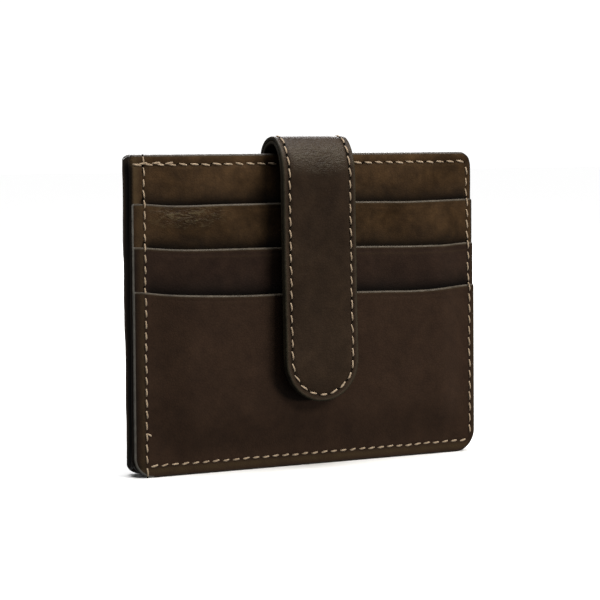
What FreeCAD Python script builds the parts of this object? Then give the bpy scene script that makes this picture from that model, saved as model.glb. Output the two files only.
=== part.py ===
import FreeCAD, Part
import os
import Sketcher

# A slim upright leather card wallet: one outer skin folded at the left, a
# centre pocket open at the top, three card pockets and a full front pocket on
# the front, a slip pocket on the back, and a closing tab that comes from the
# back over the top edge and snaps on the front pocket.
#
# Frame: origin at the middle of the foot line, +X to the right seen from the
# front, -Y out of the front face, +Z up. Millimetres.

doc = FreeCAD.newDocument("CardWallet")
sheet = doc.addObject("Spreadsheet::Sheet", "Sizes")

SIZES = [
    ("wallet_width", 102.5, "fold to right edge"),
    ("wallet_height", 82.5, "foot to top edge"),
    ("shell_leather", 1.3, "outer skin thickness"),
    ("fold_radius", 3.8, "outside radius of the soft fold"),
    ("fold_slant", 6.0, "slant of the back wall beside the fold, degrees"),
    ("pocket_leather", 1.0, "card pocket leather"),
    ("front_leather", 1.15, "front pocket leather"),
    ("back_leather", 1.5, "back pocket leather"),
    ("cloth", 0.2, "cloth glued behind each pocket"),
    ("lining", 0.3, "centre pocket lining"),
    ("half_gap", 0.45, "half the centre pocket at rest"),
    ("rim_width", 3.0, "seam allowance where the linings meet"),
    ("edge_one", 69.3, "first card edge above the foot"),
    ("edge_two", 57.5, "second card edge above the foot"),
    ("edge_three", 45.5, "front pocket edge above the foot"),
    ("edge_back", 52.0, "back pocket edge above the foot"),
    ("pocket_inset", 1.7, "pockets start right of the fold"),
    ("corner_top", 3.5, "top corner radius"),
    ("corner_foot", 6.0, "foot corner radius"),
    ("thread_width", 0.7, "stitch line width"),
    ("thread_height", 0.3, "stitch line height"),
    ("seam_side", 1.6, "right seam in from the edge"),
    ("seam_top", 2.6, "top seam below the top edge"),
    ("seam_foot", 3.0, "foot seam above the foot"),
    ("seam_fold", 3.65, "fold seam in from the fold"),
    ("tab_width", 21.5, "tab width"),
    ("tab_skin", 1.2, "tab outer ply"),
    ("tab_under", 1.0, "tab under ply"),
    ("arch_radius", 4.65, "inside radius of the arch"),
    ("arch_clear", 0.22, "free part stands off the back wall"),
    ("arch_centre", 81.2, "height of the arch centre"),
    ("tip_height", 17.5, "lowest point of the tab"),
    ("tab_lean", 1.5, "lean of the tab's front run, degrees"),
    ("hinge_height", 78.0, "height of the bend line"),
    ("hinge_slit", 0.05, "clearance at the bend line"),
    ("anchor_foot", 58.0, "lowest point of the anchored tail"),
    ("tab_seam", 1.75, "tab seam in from the edge"),
    ("snap_height", 29.0, "height of the snap"),
    ("stud_disc", 7.0, "stud plate radius"),
    ("stud_plate", 0.6, "stud plate thickness"),
    ("stud_radius", 1.9, "stud radius"),
    ("stud_length", 1.4, "stud length"),
    ("shank_radius", 1.0, "rivet shank radius"),
    ("socket_radius", 7.25, "socket case radius"),
    ("socket_depth", 1.75, "socket case depth"),
    ("socket_wall", 0.4, "socket case wall"),
    ("socket_hole", 2.6, "socket mouth radius"),
    ("base_plate", 0.4, "socket base thickness"),
    ("washer_radius", 6.0, "backing washer radius"),
    ("washer_thick", 0.2, "backing washer thickness"),
]


class Dim:
    """A number together with the sheet expression that gives it."""

    def __init__(self, value, text):
        self.value, self.text = float(value), text

    def _join(self, other, sign, swap=False):
        if not isinstance(other, Dim):
            other = Dim(other, repr(float(other)))
        a, b = (other, self) if swap else (self, other)
        if sign == "+":
            v = a.value + b.value
        elif sign == "-":
            v = a.value - b.value
        elif sign == "*":
            v = a.value * b.value
        else:
            v = a.value / b.value
        return Dim(v, "(%s %s %s)" % (a.text, sign, b.text))

    def __add__(self, o):
        return self._join(o, "+")

    def __radd__(self, o):
        return self._join(o, "+", True)

    def __sub__(self, o):
        return self._join(o, "-")

    def __rsub__(self, o):
        return self._join(o, "-", True)

    def __mul__(self, o):
        return self._join(o, "*")

    def __rmul__(self, o):
        return self._join(o, "*", True)

    def __truediv__(self, o):
        return self._join(o, "/")

    def __neg__(self):
        return self._join(0.0, "-", True)


def dim(x):
    return x if isinstance(x, Dim) else Dim(x, repr(float(x)))


def trig(name, angle):
    """sin, cos or tan of an angle in degrees, as a number and an expression."""
    import math

    value = getattr(math, name)(math.radians(angle.value))
    return Dim(value, "%s(%s)" % (name, angle.text))


d = {}
for row, (alias, value, note) in enumerate(SIZES, start=1):
    sheet.set("A%d" % row, alias)
    sheet.set("B%d" % row, str(value))
    sheet.set("C%d" % row, note)
    sheet.setAlias("B%d" % row, alias)
    d[alias] = Dim(value, "Sizes.%s" % alias)
doc.recompute()


def plane(body, role):
    for feature in body.Origin.OriginFeatures:
        if feature.Role == role:
            return feature
    raise RuntimeError("no plane " + role)


def new_body(name, label):
    body = doc.addObject("PartDesign::Body", name)
    body.Label = label
    return body


def new_sketch(body, name, role, off_x, off_y, off_n):
    """A sketch on one of the body's planes, moved by sheet expressions."""
    sk = body.newObject("Sketcher::SketchObject", name)
    sk.AttachmentSupport = [(plane(body, role), "")]
    sk.MapMode = "FlatFace"
    ox, oy, on = dim(off_x), dim(off_y), dim(off_n)
    sk.AttachmentOffset = FreeCAD.Placement(
        FreeCAD.Vector(ox.value, oy.value, on.value), FreeCAD.Rotation()
    )
    sk.setExpression("AttachmentOffset.Base.x", ox.text)
    sk.setExpression("AttachmentOffset.Base.y", oy.text)
    sk.setExpression("AttachmentOffset.Base.z", on.text)
    return sk


def bind(sk, index, size):
    sk.setExpression("Constraints[%d]" % index, dim(size).text)


def rounded_rect(sk, width, height, r_bl, r_br, r_tr, r_tl):
    """A closed outline with its lower left corner at the sketch origin; each
    corner may have its own radius."""
    w, h = dim(width), dim(height)
    radii = [dim(r) for r in (r_bl, r_br, r_tr, r_tl)]
    bl, br, tr, tl = [r.value for r in radii]
    V = FreeCAD.Vector
    Z = V(0, 0, 1)
    pi = 3.141592653589793
    W, H = w.value, h.value

    def arc(cx, cy, r, a, b):
        return Part.ArcOfCircle(Part.Circle(V(cx, cy, 0), Z, r), a, b)

    sk.addGeometry(
        [
            Part.LineSegment(V(bl, 0, 0), V(W - br, 0, 0)),
            arc(W - br, br, br, -pi / 2, 0),
            Part.LineSegment(V(W, br, 0), V(W, H - tr, 0)),
            arc(W - tr, H - tr, tr, 0, pi / 2),
            Part.LineSegment(V(W - tr, H, 0), V(tl, H, 0)),
            arc(tl, H - tl, tl, pi / 2, pi),
            Part.LineSegment(V(0, H - tl, 0), V(0, bl, 0)),
            arc(bl, bl, bl, pi, 1.5 * pi),
        ],
        False,
    )
    C = Sketcher.Constraint
    for a, pa, b, pb in (
        (0, 2, 1, 1),
        (1, 2, 2, 1),
        (2, 2, 3, 1),
        (3, 2, 4, 1),
        (4, 2, 5, 1),
        (5, 2, 6, 1),
        (6, 2, 7, 1),
        (7, 2, 0, 1),
    ):
        sk.addConstraint(C("Tangent", a, pa, b, pb))
    sk.addConstraint(C("Horizontal", 0))
    sk.addConstraint(C("Vertical", 2))
    sk.addConstraint(C("Horizontal", 4))
    sk.addConstraint(C("Vertical", 6))
    sk.addConstraint(C("PointOnObject", 0, 1, -1))
    sk.addConstraint(C("PointOnObject", 6, 1, -2))
    bind(sk, sk.addConstraint(C("DistanceX", -1, 1, 2, 1, W)), w)
    bind(sk, sk.addConstraint(C("DistanceY", -1, 1, 4, 1, H)), h)
    for geo, r in ((7, radii[0]), (1, radii[1]), (3, radii[2]), (5, radii[3])):
        bind(sk, sk.addConstraint(C("Radius", geo, r.value)), r)


def polygon(sk, points):
    """A closed outline of straight sides through points with positive sheet
    coordinates."""
    V = FreeCAD.Vector
    pts = [(dim(x), dim(y)) for x, y in points]
    n = len(pts)
    for i in range(n):
        a, b = pts[i], pts[(i + 1) % n]
        sk.addGeometry(
            Part.LineSegment(
                V(a[0].value, a[1].value, 0), V(b[0].value, b[1].value, 0)
            ),
            False,
        )
    C = Sketcher.Constraint
    for i in range(n):
        sk.addConstraint(C("Coincident", i, 2, (i + 1) % n, 1))
    for i, (x, y) in enumerate(pts):
        bind(sk, sk.addConstraint(C("DistanceX", -1, 1, i, 1, x.value)), x)
        bind(sk, sk.addConstraint(C("DistanceY", -1, 1, i, 1, y.value)), y)


def pad(body, sk, name, length, both=False):
    p = body.newObject("PartDesign::Pad", name)
    p.Profile = sk
    p.Type = "Length"
    p.Length = dim(length).value
    p.setExpression("Length", dim(length).text)
    if both:
        p.Midplane = True
    body.Tip = p
    sk.Visibility = False
    return p


def plate(name, label, x0, z0, width, height, y_back, thick, radii):
    """A flat sheet in the XZ plane whose back face lies at y_back; it grows
    towards the front, -Y."""
    body = new_body(name, label)
    sk = new_sketch(body, name + "Outline", "XZ_Plane", x0, z0, -dim(y_back))
    rounded_rect(sk, width, height, *radii)
    pad(body, sk, name + "Pad", thick)
    return body


def disc(name, y_back, height, radius, z=None):
    """A round bar along -Y with its back face at y_back."""
    z = d["snap_height"] if z is None else z
    y_back, height, radius, z = dim(y_back), dim(height), dim(radius), dim(z)
    c = doc.addObject("Part::Cylinder", name)
    c.setExpression("Radius", radius.text)
    c.setExpression("Height", height.text)
    c.Placement = FreeCAD.Placement(
        FreeCAD.Vector(0, y_back.value, z.value),
        FreeCAD.Rotation(FreeCAD.Vector(1, 0, 0), 90),
    )
    c.setExpression("Placement.Base.y", y_back.text)
    c.setExpression("Placement.Base.z", z.text)
    return c


def block(name, x0, x1, y0, y1, z0, z1):
    x0, x1, y0, y1, z0, z1 = [dim(v) for v in (x0, x1, y0, y1, z0, z1)]
    b = doc.addObject("Part::Box", name)
    b.setExpression("Length", (x1 - x0).text)
    b.setExpression("Width", (y1 - y0).text)
    b.setExpression("Height", (z1 - z0).text)
    b.setExpression("Placement.Base.x", x0.text)
    b.setExpression("Placement.Base.y", y0.text)
    b.setExpression("Placement.Base.z", z0.text)
    return b


def boolean(kind, name, label, base, tool):
    o = doc.addObject(kind, name)
    o.Base, o.Tool = base, tool
    o.Label = label
    return o


def group(name, label, items):
    o = doc.addObject("Part::Compound", name)
    o.Links = items
    o.Label = label
    return o


W, H = d["wallet_width"], d["wallet_height"]
left, right = -(W / 2), W / 2
half_gap, lin, skin = d["half_gap"], d["lining"], d["shell_leather"]

# Levels through the thickness, from the middle of the centre pocket outward.
y_lin = half_gap + lin  # outside of a lining, inside of the outer skin
y_skin = y_lin + skin  # outside of the outer skin
y_p1 = y_skin + d["cloth"] + d["pocket_leather"]
y_p2 = y_p1 + d["cloth"] + d["pocket_leather"]
y_p3 = y_p2 + d["cloth"] + d["front_leather"]
y_back_pocket = y_skin + d["back_leather"]

PARTS = {}

# ---------------------------------------------------------------- outer skin
# One piece of leather, folded round the left. The fold stays soft and round,
# so the back wall starts further back there, slants in and then lies close to
# the front wall. It is drawn in plan, raised to full height and trimmed to
# rounded corners. Plan coordinates start at the fold and at the front face.
pi = 3.141592653589793
V = FreeCAD.Vector
C = Sketcher.Constraint
rf, slant = d["fold_radius"], d["fold_slant"]
sin_s, cos_s, tan_s = trig("sin", slant), trig("cos", slant), trig("tan", slant)
half = slant / 2
tan_h = trig("tan", half)
flat = 2 * y_skin  # outside of the back wall where it lies flat
knee = rf + rf * sin_s + (rf + rf * cos_s - flat) / tan_s


def back_y(x, off):
    """Height in plan of a surface parallel to the back wall, off outside it."""
    return flat + off + tan_s * (knee + off * tan_h - x)


def back_sheet(sk, x_l, x_r, low, high):
    """A sheet that follows the back wall from offset low to offset high."""
    x_l, x_r, low, high = dim(x_l), dim(x_r), dim(low), dim(high)
    polygon(
        sk,
        [
            (x_l, back_y(x_l, low)),
            (knee + low * tan_h, flat + low),
            (x_r, flat + low),
            (x_r, flat + high),
            (knee + high * tan_h, flat + high),
            (x_l, back_y(x_l, high)),
        ],
    )


u_body = new_body("ShellFold", "shell_fold_blank")
u_sk = new_sketch(u_body, "ShellPlan", "XY_Plane", left, -y_skin, 0.0)
R, S, T, K, F = rf.value, sin_s.value, cos_s.value, knee.value, flat.value
q, wd = skin.value, W.value
delta = slant.value * pi / 180
ki = K - q * tan_h.value  # the inner face's knee
u_sk.addGeometry(
    [
        Part.LineSegment(V(R, 0, 0), V(wd, 0, 0)),
        Part.LineSegment(V(wd, 0, 0), V(wd, q, 0)),
        Part.LineSegment(V(wd, q, 0), V(R, q, 0)),
        Part.ArcOfCircle(
            Part.Circle(V(R, R, 0), V(0, 0, 1), R - q), pi / 2 - delta, 1.5 * pi
        ),
        Part.LineSegment(
            V(R + (R - q) * S, R + (R - q) * T, 0), V(ki, F - q, 0)
        ),
        Part.LineSegment(V(ki, F - q, 0), V(wd, F - q, 0)),
        Part.LineSegment(V(wd, F - q, 0), V(wd, F, 0)),
        Part.LineSegment(V(wd, F, 0), V(K, F, 0)),
        Part.LineSegment(V(K, F, 0), V(R + R * S, R + R * T, 0)),
        Part.ArcOfCircle(
            Part.Circle(V(R, R, 0), V(0, 0, 1), R), pi / 2 - delta, 1.5 * pi
        ),
    ],
    False,
)
for g1, p1, g2, p2 in (
    (0, 2, 1, 1),
    (1, 2, 2, 1),
    (4, 2, 5, 1),
    (5, 2, 6, 1),
    (6, 2, 7, 1),
    (7, 2, 8, 1),
):
    u_sk.addConstraint(C("Coincident", g1, p1, g2, p2))
for g1, p1, g2, p2 in ((2, 2, 3, 2), (3, 1, 4, 1), (8, 2, 9, 1), (9, 2, 0, 1)):
    u_sk.addConstraint(C("Tangent", g1, p1, g2, p2))
for geo in (0, 2, 5, 7):
    u_sk.addConstraint(C("Horizontal", geo))
for geo in (1, 6):
    u_sk.addConstraint(C("Vertical", geo))
u_sk.addConstraint(C("Parallel", 4, 8))
u_sk.addConstraint(C("Coincident", 3, 3, 9, 3))
u_sk.addConstraint(C("PointOnObject", 0, 1, -1))
bind(u_sk, u_sk.addConstraint(C("Radius", 9, R)), rf)
bind(u_sk, u_sk.addConstraint(C("Radius", 3, R - q)), rf - skin)
bind(u_sk, u_sk.addConstraint(C("DistanceX", -1, 1, 9, 3, R)), rf)
bind(u_sk, u_sk.addConstraint(C("DistanceX", -1, 1, 0, 2, wd)), W)
bind(u_sk, u_sk.addConstraint(C("DistanceX", -1, 1, 7, 1, wd)), W)
bind(u_sk, u_sk.addConstraint(C("DistanceY", -1, 1, 7, 1, F)), flat)
bind(u_sk, u_sk.addConstraint(C("DistanceX", -1, 1, 7, 2, K)), knee)
bind(u_sk, u_sk.addConstraint(C("DistanceY", 5, 2, 6, 2, q)), skin)
pad(u_body, u_sk, "ShellRise", H)

CORNERS = (d["corner_foot"], d["corner_foot"], d["corner_top"], d["corner_top"])


def trim_plate(name, x0, z0, width, height, radii):
    """A deep block with rounded corners that trims a sheet drawn in plan."""
    return plate(name, name, x0, z0, width, height, 20.0, 40.0, radii)


trim = trim_plate("ShellTrim", left, 0.0, W, H, CORNERS)
PARTS["outer_shell"] = boolean(
    "Part::Common", "OuterShell", "outer_shell", u_body, trim
)

# ------------------------------------------------------- centre pocket lining
# The front lining is a flat cloth sheet. The back lining follows the back
# wall, and its rims at the foot and at the right meet the front lining and
# close the centre pocket.
in_left = left + rf
inner_w = right - in_left
PARTS["lining_front"] = plate(
    "LiningFront",
    "lining_front",
    in_left,
    0.0,
    inner_w,
    H - 0.4,
    -half_gap,
    lin,
    (0.5, d["corner_foot"], d["corner_top"], 0.5),
)
lb = new_body("LiningBack", "lining_back_blank")
sheet_sk = new_sketch(lb, "LiningBackSheet", "XY_Plane", left, -y_skin, 0.0)
back_sheet(sheet_sk, rf + 0.5, W, -(skin + lin), -skin)
pad(lb, sheet_sk, "LiningBackSheetPad", H - 0.4)
inside = -(skin + lin)
meet = skin + lin  # plan height of the front lining's inner face
foot_sk = new_sketch(lb, "LiningBackFoot", "XY_Plane", left, -y_skin, 0.0)
polygon(
    foot_sk,
    [
        (rf + 0.5, meet),
        (W, meet),
        (W, flat + inside),
        (knee + inside * tan_h, flat + inside),
        (rf + 0.5, back_y(rf + 0.5, inside)),
    ],
)
pad(lb, foot_sk, "LiningBackFootPad", d["rim_width"])
side_sk = new_sketch(lb, "LiningBackSide", "XY_Plane", left, -y_skin, 0.0)
polygon(
    side_sk,
    [
        (W - d["rim_width"], meet),
        (W, meet),
        (W, flat + inside),
        (W - d["rim_width"], flat + inside),
    ],
)
pad(lb, side_sk, "LiningBackSidePad", H - 6.0)
lining_trim = trim_plate(
    "LiningTrim",
    in_left,
    0.0,
    inner_w,
    H - 0.4,
    (0.5, d["corner_foot"], d["corner_top"], 0.5),
)
PARTS["lining_back"] = boolean(
    "Part::Common", "LiningBackTrimmed", "lining_back", lb, lining_trim
)

# --------------------------------------------------------------- card pockets
# Three pocket sheets lie on the front wall one over the other, each lower at
# the top than the one behind it. Each has cloth glued to its back.
p_left = left + d["pocket_inset"]
p_w = right - p_left
steps = [
    ("One", "1", d["edge_one"], y_skin, d["pocket_leather"]),
    ("Two", "2", d["edge_two"], y_p1, d["pocket_leather"]),
    ("Three", "3", d["edge_three"], y_p2, d["front_leather"]),
]
stud_hole = d["shank_radius"] + 0.05
for word, number, top, level, leather in steps:
    cloth = plate(
        "PocketCloth" + word,
        "pocket_cloth_" + number,
        p_left + 0.3,
        0.3,
        p_w - 0.6,
        top - 2.3,
        -level,
        d["cloth"],
        (5.0, 5.7, 0.5, 0.5),
    )
    sheet_body = plate(
        "CardPocket" + word,
        "card_pocket_" + number,
        p_left,
        0.0,
        p_w,
        top,
        -(level + d["cloth"]),
        leather,
        (5.0, d["corner_foot"], 0.3, 0.3),
    )
    if number == "3":
        # The snap's shank goes through the front pocket; its washer fills a
        # round hole in the cloth behind.
        drill = disc("ShankHole", -level + 1.0, 4.0, stud_hole)
        sheet_body.Label = "card_pocket_3_blank"
        cloth.Label = "pocket_cloth_3_blank"
        PARTS["card_pocket_3"] = boolean(
            "Part::Cut", "CardPocketPierced", "card_pocket_3", sheet_body, drill
        )
        seat = disc("WasherSeat", -level + 1.0, 3.0, d["washer_radius"] + 0.1)
        PARTS["pocket_cloth_3"] = boolean(
            "Part::Cut", "PocketClothPierced", "pocket_cloth_3", cloth, seat
        )
    else:
        PARTS["card_pocket_" + number] = sheet_body
        PARTS["pocket_cloth_" + number] = cloth

# ----------------------------------------------------------------- back pocket
# One slip pocket that follows the back wall, with cloth glued behind it.
for name, label, low, high, top, inset in (
    ("BackPocket", "back_pocket", d["cloth"], d["back_leather"], d["edge_back"], 0.0),
    (
        "BackPocketCloth",
        "back_pocket_cloth",
        dim(0.0),
        d["cloth"],
        d["edge_back"] - 2.0,
        0.3,
    ),
):
    body = new_body(name, label + "_blank")
    plan = new_sketch(body, name + "Plan", "XY_Plane", left, -y_skin, 0.0)
    back_sheet(plan, 2.6 + inset, W - inset, low, high)
    pad(body, plan, name + "Pad", top)
    rounding = trim_plate(
        name + "Trim",
        left + 2.6 + inset,
        inset,
        W - 2.6 - 2 * inset,
        top - inset,
        (5.0, d["corner_foot"], 0.3, 0.3),
    )
    PARTS[label] = boolean("Part::Common", name + "Trimmed", label, body, rounding)

# ------------------------------------------------------------------------ tab
# The tab is two plies of leather. Its tail is sewn flat on the back wall; the
# free part bends at the bend line, arches over the top edge and runs down the
# front to a round end.
tw = d["tab_width"]
r_in = d["arch_radius"]
r_mid = r_in + d["tab_under"]
r_out = r_mid + d["tab_skin"]
arch_y = y_skin + d["arch_clear"] - r_in  # centre of the arch
lean = d["tab_lean"]


def tab_profile(name, label, inner, outer):
    """The side view of one ply between two radii about the arch centre."""
    from math import cos, sin, radians, tan

    body = new_body(name, label)
    # Sketch origin 30 mm in front of the arch centre, at the foot.
    sk = new_sketch(body, name + "Side", "YZ_Plane", arch_y - 30.0, 0.0, 0.0)
    cx, cz = 30.0, d["arch_centre"].value
    z0 = (d["hinge_height"] + d["hinge_slit"]).value
    zt = (d["tip_height"] - 0.5).value
    a = radians(lean.value)
    ri_, ro_ = dim(inner), dim(outer)

    def end(r):
        return V(cx - r * cos(a), cz + r * sin(a), 0)

    def tip(r):
        e = end(r)
        return V(e.x - (e.y - zt) * tan(a), zt, 0)

    Zv = V(0, 0, 1)
    ro_v, ri_v = ro_.value, ri_.value
    sk.addGeometry(
        [
            Part.LineSegment(V(cx + ro_v, z0, 0), V(cx + ro_v, cz, 0)),
            Part.ArcOfCircle(Part.Circle(V(cx, cz, 0), Zv, ro_v), 0, pi - a),
            Part.LineSegment(end(ro_v), tip(ro_v)),
            Part.LineSegment(tip(ro_v), tip(ri_v)),
            Part.LineSegment(tip(ri_v), end(ri_v)),
            Part.ArcOfCircle(Part.Circle(V(cx, cz, 0), Zv, ri_v), 0, pi - a),
            Part.LineSegment(V(cx + ri_v, cz, 0), V(cx + ri_v, z0, 0)),
            Part.LineSegment(V(cx + ri_v, z0, 0), V(cx + ro_v, z0, 0)),
        ],
        False,
    )
    for g1, p1, g2, p2 in ((0, 2, 1, 1), (1, 2, 2, 1), (4, 2, 5, 2), (5, 1, 6, 1)):
        sk.addConstraint(C("Tangent", g1, p1, g2, p2))
    for g1, p1, g2, p2 in ((2, 2, 3, 1), (3, 2, 4, 1), (6, 2, 7, 1), (7, 2, 0, 1)):
        sk.addConstraint(C("Coincident", g1, p1, g2, p2))
    sk.addConstraint(C("Coincident", 1, 3, 5, 3))
    sk.addConstraint(C("Vertical", 0))
    sk.addConstraint(C("Vertical", 6))
    sk.addConstraint(C("Horizontal", 3))
    sk.addConstraint(C("Horizontal", 7))
    sk.addConstraint(C("Parallel", 2, 4))
    bind(sk, sk.addConstraint(C("Radius", 1, ro_v)), ro_)
    bind(sk, sk.addConstraint(C("Radius", 5, ri_v)), ri_)
    bind(sk, sk.addConstraint(C("DistanceX", -1, 1, 1, 3, cx)), 30.0)
    bind(sk, sk.addConstraint(C("DistanceY", -1, 1, 1, 3, cz)), d["arch_centre"])
    bind(
        sk,
        sk.addConstraint(C("DistanceY", -1, 1, 0, 1, z0)),
        d["hinge_height"] + d["hinge_slit"],
    )
    bind(
        sk,
        sk.addConstraint(C("DistanceY", -1, 1, 3, 1, zt)),
        d["tip_height"] - 0.5,
    )
    # The run leans out by the angle whose tangent is run over rise.
    rise = end(ro_v).y - zt
    bind(
        sk,
        sk.addConstraint(
            C("DistanceX", 2, 2, 2, 1, end(ro_v).x - tip(ro_v).x)
        ),
        Dim(
            rise * tan(a),
            "(Sizes.arch_centre - Sizes.tip_height + 0.5 + %s * sin(Sizes.tab_lean))"
            " * tan(Sizes.tab_lean)" % ro_.text,
        ),
    )
    pad(body, sk, name + "Pad", tw, both=True)
    return body


def tab_outline(name, label, inset, both_ways=False):
    """The tab seen from the front: straight sides and a half round end."""
    w = tw - 2 * dim(inset)
    return plate(
        name,
        label,
        -(w / 2),
        d["tip_height"] + inset,
        w,
        100.0 - d["tip_height"] - inset,
        20.0,
        40.0,
        (w / 2 - 0.01, w / 2 - 0.01, 0.1, 0.1),
    )


ply_out = tab_profile("TabOuterSide", "tab_outer_side", r_mid, r_out)
ply_in = tab_profile("TabUnderSide", "tab_under_side", r_in, r_mid)
face_a = tab_outline("TabFaceA", "tab_face_a", 0.0)
face_b = tab_outline("TabFaceB", "tab_face_b", 0.0)
PARTS["tab_outer"] = boolean("Part::Common", "TabOuter", "tab_outer", ply_out, face_a)
ply_under = boolean("Part::Common", "TabUnder", "tab_lining_blank", ply_in, face_b)

# The tab's seam lies on the outer ply: a narrow band that follows both sides
# and the round end.
seam_in = d["tab_seam"]
thread_w, thread_h = d["thread_width"], d["thread_height"]
seam_side_view = tab_profile("TabSeamSide", "tab_seam_side", r_out, r_out + thread_h)
seam_big = tab_outline("TabSeamOut", "tab_seam_out", seam_in - thread_w / 2)
seam_small = tab_outline("TabSeamIn", "tab_seam_in", seam_in + thread_w / 2)
seam_ring = boolean("Part::Cut", "TabSeamRing", "tab_seam_ring", seam_big, seam_small)
PARTS["thread_tab"] = boolean(
    "Part::Common", "ThreadTab", "thread_tab", seam_side_view, seam_ring
)

tail_h = d["hinge_height"] - d["anchor_foot"]
tail_r = (1.5, 1.5, 0.1, 0.1)
PARTS["tab_anchor_lining"] = plate(
    "TabTailUnder", "tab_anchor_lining", -(tw / 2), d["anchor_foot"], tw, tail_h,
    y_skin + d["tab_under"], d["tab_under"], tail_r,
)
PARTS["tab_anchor_outer"] = plate(
    "TabTailOuter", "tab_anchor_outer", -(tw / 2), d["anchor_foot"], tw, tail_h,
    y_skin + d["tab_under"] + d["tab_skin"], d["tab_skin"], tail_r,
)
y_tail = y_skin + d["tab_under"] + d["tab_skin"]

# ----------------------------------------------------------------------- snap
# Magnetic snap. Stud half on the front pocket: plate, stud and shank in one
# turned piece, with a washer behind the leather.
face = -y_p3
plate_disc = disc("StudPlate", face, d["stud_plate"], d["stud_disc"])
stud = disc("Stud", face, d["stud_plate"] + d["stud_length"], d["stud_radius"])
shank = disc(
    "StudShank",
    face + d["front_leather"] + d["cloth"],
    d["front_leather"] + d["cloth"] + 0.1,
    d["shank_radius"],
)
stud_a = boolean("Part::Fuse", "StudAndPlate", "snap_stud_a", plate_disc, stud)
PARTS["snap_stud"] = boolean("Part::Fuse", "SnapStud", "snap_stud", stud_a, shank)
w_disc = disc(
    "StudWasherDisc",
    face + d["front_leather"] + d["cloth"],
    d["washer_thick"],
    d["washer_radius"],
)
w_hole = disc(
    "StudWasherHole",
    face + d["front_leather"] + d["cloth"] + 0.5,
    2.0,
    d["shank_radius"],
)
PARTS["snap_stud_washer"] = boolean(
    "Part::Cut", "SnapStudWasher", "snap_stud_washer", w_disc, w_hole
)

# Socket half under the tab: a pressed case, a ring magnet, a base with its
# shank and a washer between the two plies. They lean with the tab, so they
# are drawn in the tab's own direction and turned about the arch centre.
PARTS_LEAN = []


def leaning(name, depth_from, height, radius):
    """A round bar square to the leaning run. depth_from is measured from the
    plane of the under ply's inner face; positive is towards the wallet."""
    from math import cos, sin, radians

    a = radians(lean.value)
    reach, h_, r_ = dim(depth_from), dim(height), dim(radius)
    c = doc.addObject("Part::Cylinder", name)
    c.setExpression("Radius", r_.text)
    c.setExpression("Height", h_.text)
    # Along the run, at the snap's height on the inner face.
    down = (d["arch_centre"] - d["snap_height"]).value
    y = arch_y.value - r_in.value * cos(a) - (down + r_in.value * sin(a)) * (
        sin(a) / cos(a)
    )
    c.Placement = FreeCAD.Placement(
        FreeCAD.Vector(
            0, y + reach.value * cos(a), d["snap_height"].value - reach.value * sin(a)
        ),
        FreeCAD.Rotation(FreeCAD.Vector(1, 0, 0), 90 - lean.value),
    )
    base_y = (
        "%s - %s * cos(Sizes.tab_lean) - (Sizes.arch_centre - Sizes.snap_height"
        " + %s * sin(Sizes.tab_lean)) * tan(Sizes.tab_lean)"
        % (arch_y.text, r_in.text, r_in.text)
    )
    c.setExpression(
        "Placement.Base.y", "%s + %s * cos(Sizes.tab_lean)" % (base_y, reach.text)
    )
    c.setExpression(
        "Placement.Base.z",
        "Sizes.snap_height - %s * sin(Sizes.tab_lean)" % reach.text,
    )
    c.setExpression("Placement.Rotation.Angle", "90 - Sizes.tab_lean")
    return c


case_d = d["socket_depth"]
case_out = leaning("CaseOut", case_d, case_d, d["socket_radius"])
case_in = leaning(
    "CaseIn",
    case_d - d["socket_wall"],
    case_d,
    d["socket_radius"] - d["socket_wall"],
)
case_mouth = leaning("CaseMouth", case_d + 1.0, 4.0, d["socket_hole"])
case_a = boolean("Part::Cut", "CaseCup", "snap_case_cup", case_out, case_in)
PARTS["snap_socket_case"] = boolean(
    "Part::Cut", "SnapSocketCase", "snap_socket_case", case_a, case_mouth
)
mag_t = case_d - d["socket_wall"] - d["base_plate"]
mag_out = leaning(
    "MagnetOut",
    d["base_plate"] + mag_t,
    mag_t,
    d["socket_radius"] - d["socket_wall"] - 0.05,
)
mag_in = leaning("MagnetIn", case_d + 1.0, 4.0, d["socket_hole"] + 0.1)
PARTS["snap_magnet"] = boolean("Part::Cut", "SnapMagnet", "snap_magnet", mag_out, mag_in)
base_disc = leaning(
    "BaseDisc",
    d["base_plate"],
    d["base_plate"],
    d["socket_radius"] - d["socket_wall"] - 0.05,
)
base_shank = leaning(
    "BaseShank", 0.1, d["tab_under"] + 0.1, d["shank_radius"]
)
PARTS["snap_socket_base"] = boolean(
    "Part::Fuse", "SnapSocketBase", "snap_socket_base", base_disc, base_shank
)
sw_disc = leaning(
    "SocketWasherDisc",
    -(d["tab_under"] - d["washer_thick"]),
    d["washer_thick"],
    d["washer_radius"],
)
sw_hole = leaning("SocketWasherHole", 2.0, 6.0, d["shank_radius"])
PARTS["snap_socket_washer"] = boolean(
    "Part::Cut", "SnapSocketWasher", "snap_socket_washer", sw_disc, sw_hole
)
# Seat for the washer and hole for the shank in the under ply.
seat_disc = leaning(
    "UnderSeat",
    -(d["tab_under"] - d["washer_thick"]),
    d["washer_thick"] + 0.5,
    d["washer_radius"] + 0.05,
)
seat_hole = leaning("UnderHole", 2.0, 6.0, d["shank_radius"] + 0.05)
under_a = boolean("Part::Cut", "UnderSeated", "tab_lining_seated", ply_under, seat_disc)
PARTS["tab_lining"] = boolean("Part::Cut", "TabLining", "tab_lining", under_a, seat_hole)

# -------------------------------------------------------------------- threads
# Each line of stitches is a low, narrow bar on the leather. A line that
# crosses pocket edges steps out with them, and each seam has its line on the
# front and on the back.
tw2 = thread_w / 2
z_top = H - d["seam_top"]
z_foot = d["seam_foot"]
x_side = right - d["seam_side"]
x_fold = left + d["seam_fold"]
x_run = left + rf - 0.6
half_tab = tw / 2
e1, e2, e3, eb = d["edge_one"], d["edge_two"], d["edge_three"], d["edge_back"]


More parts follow.
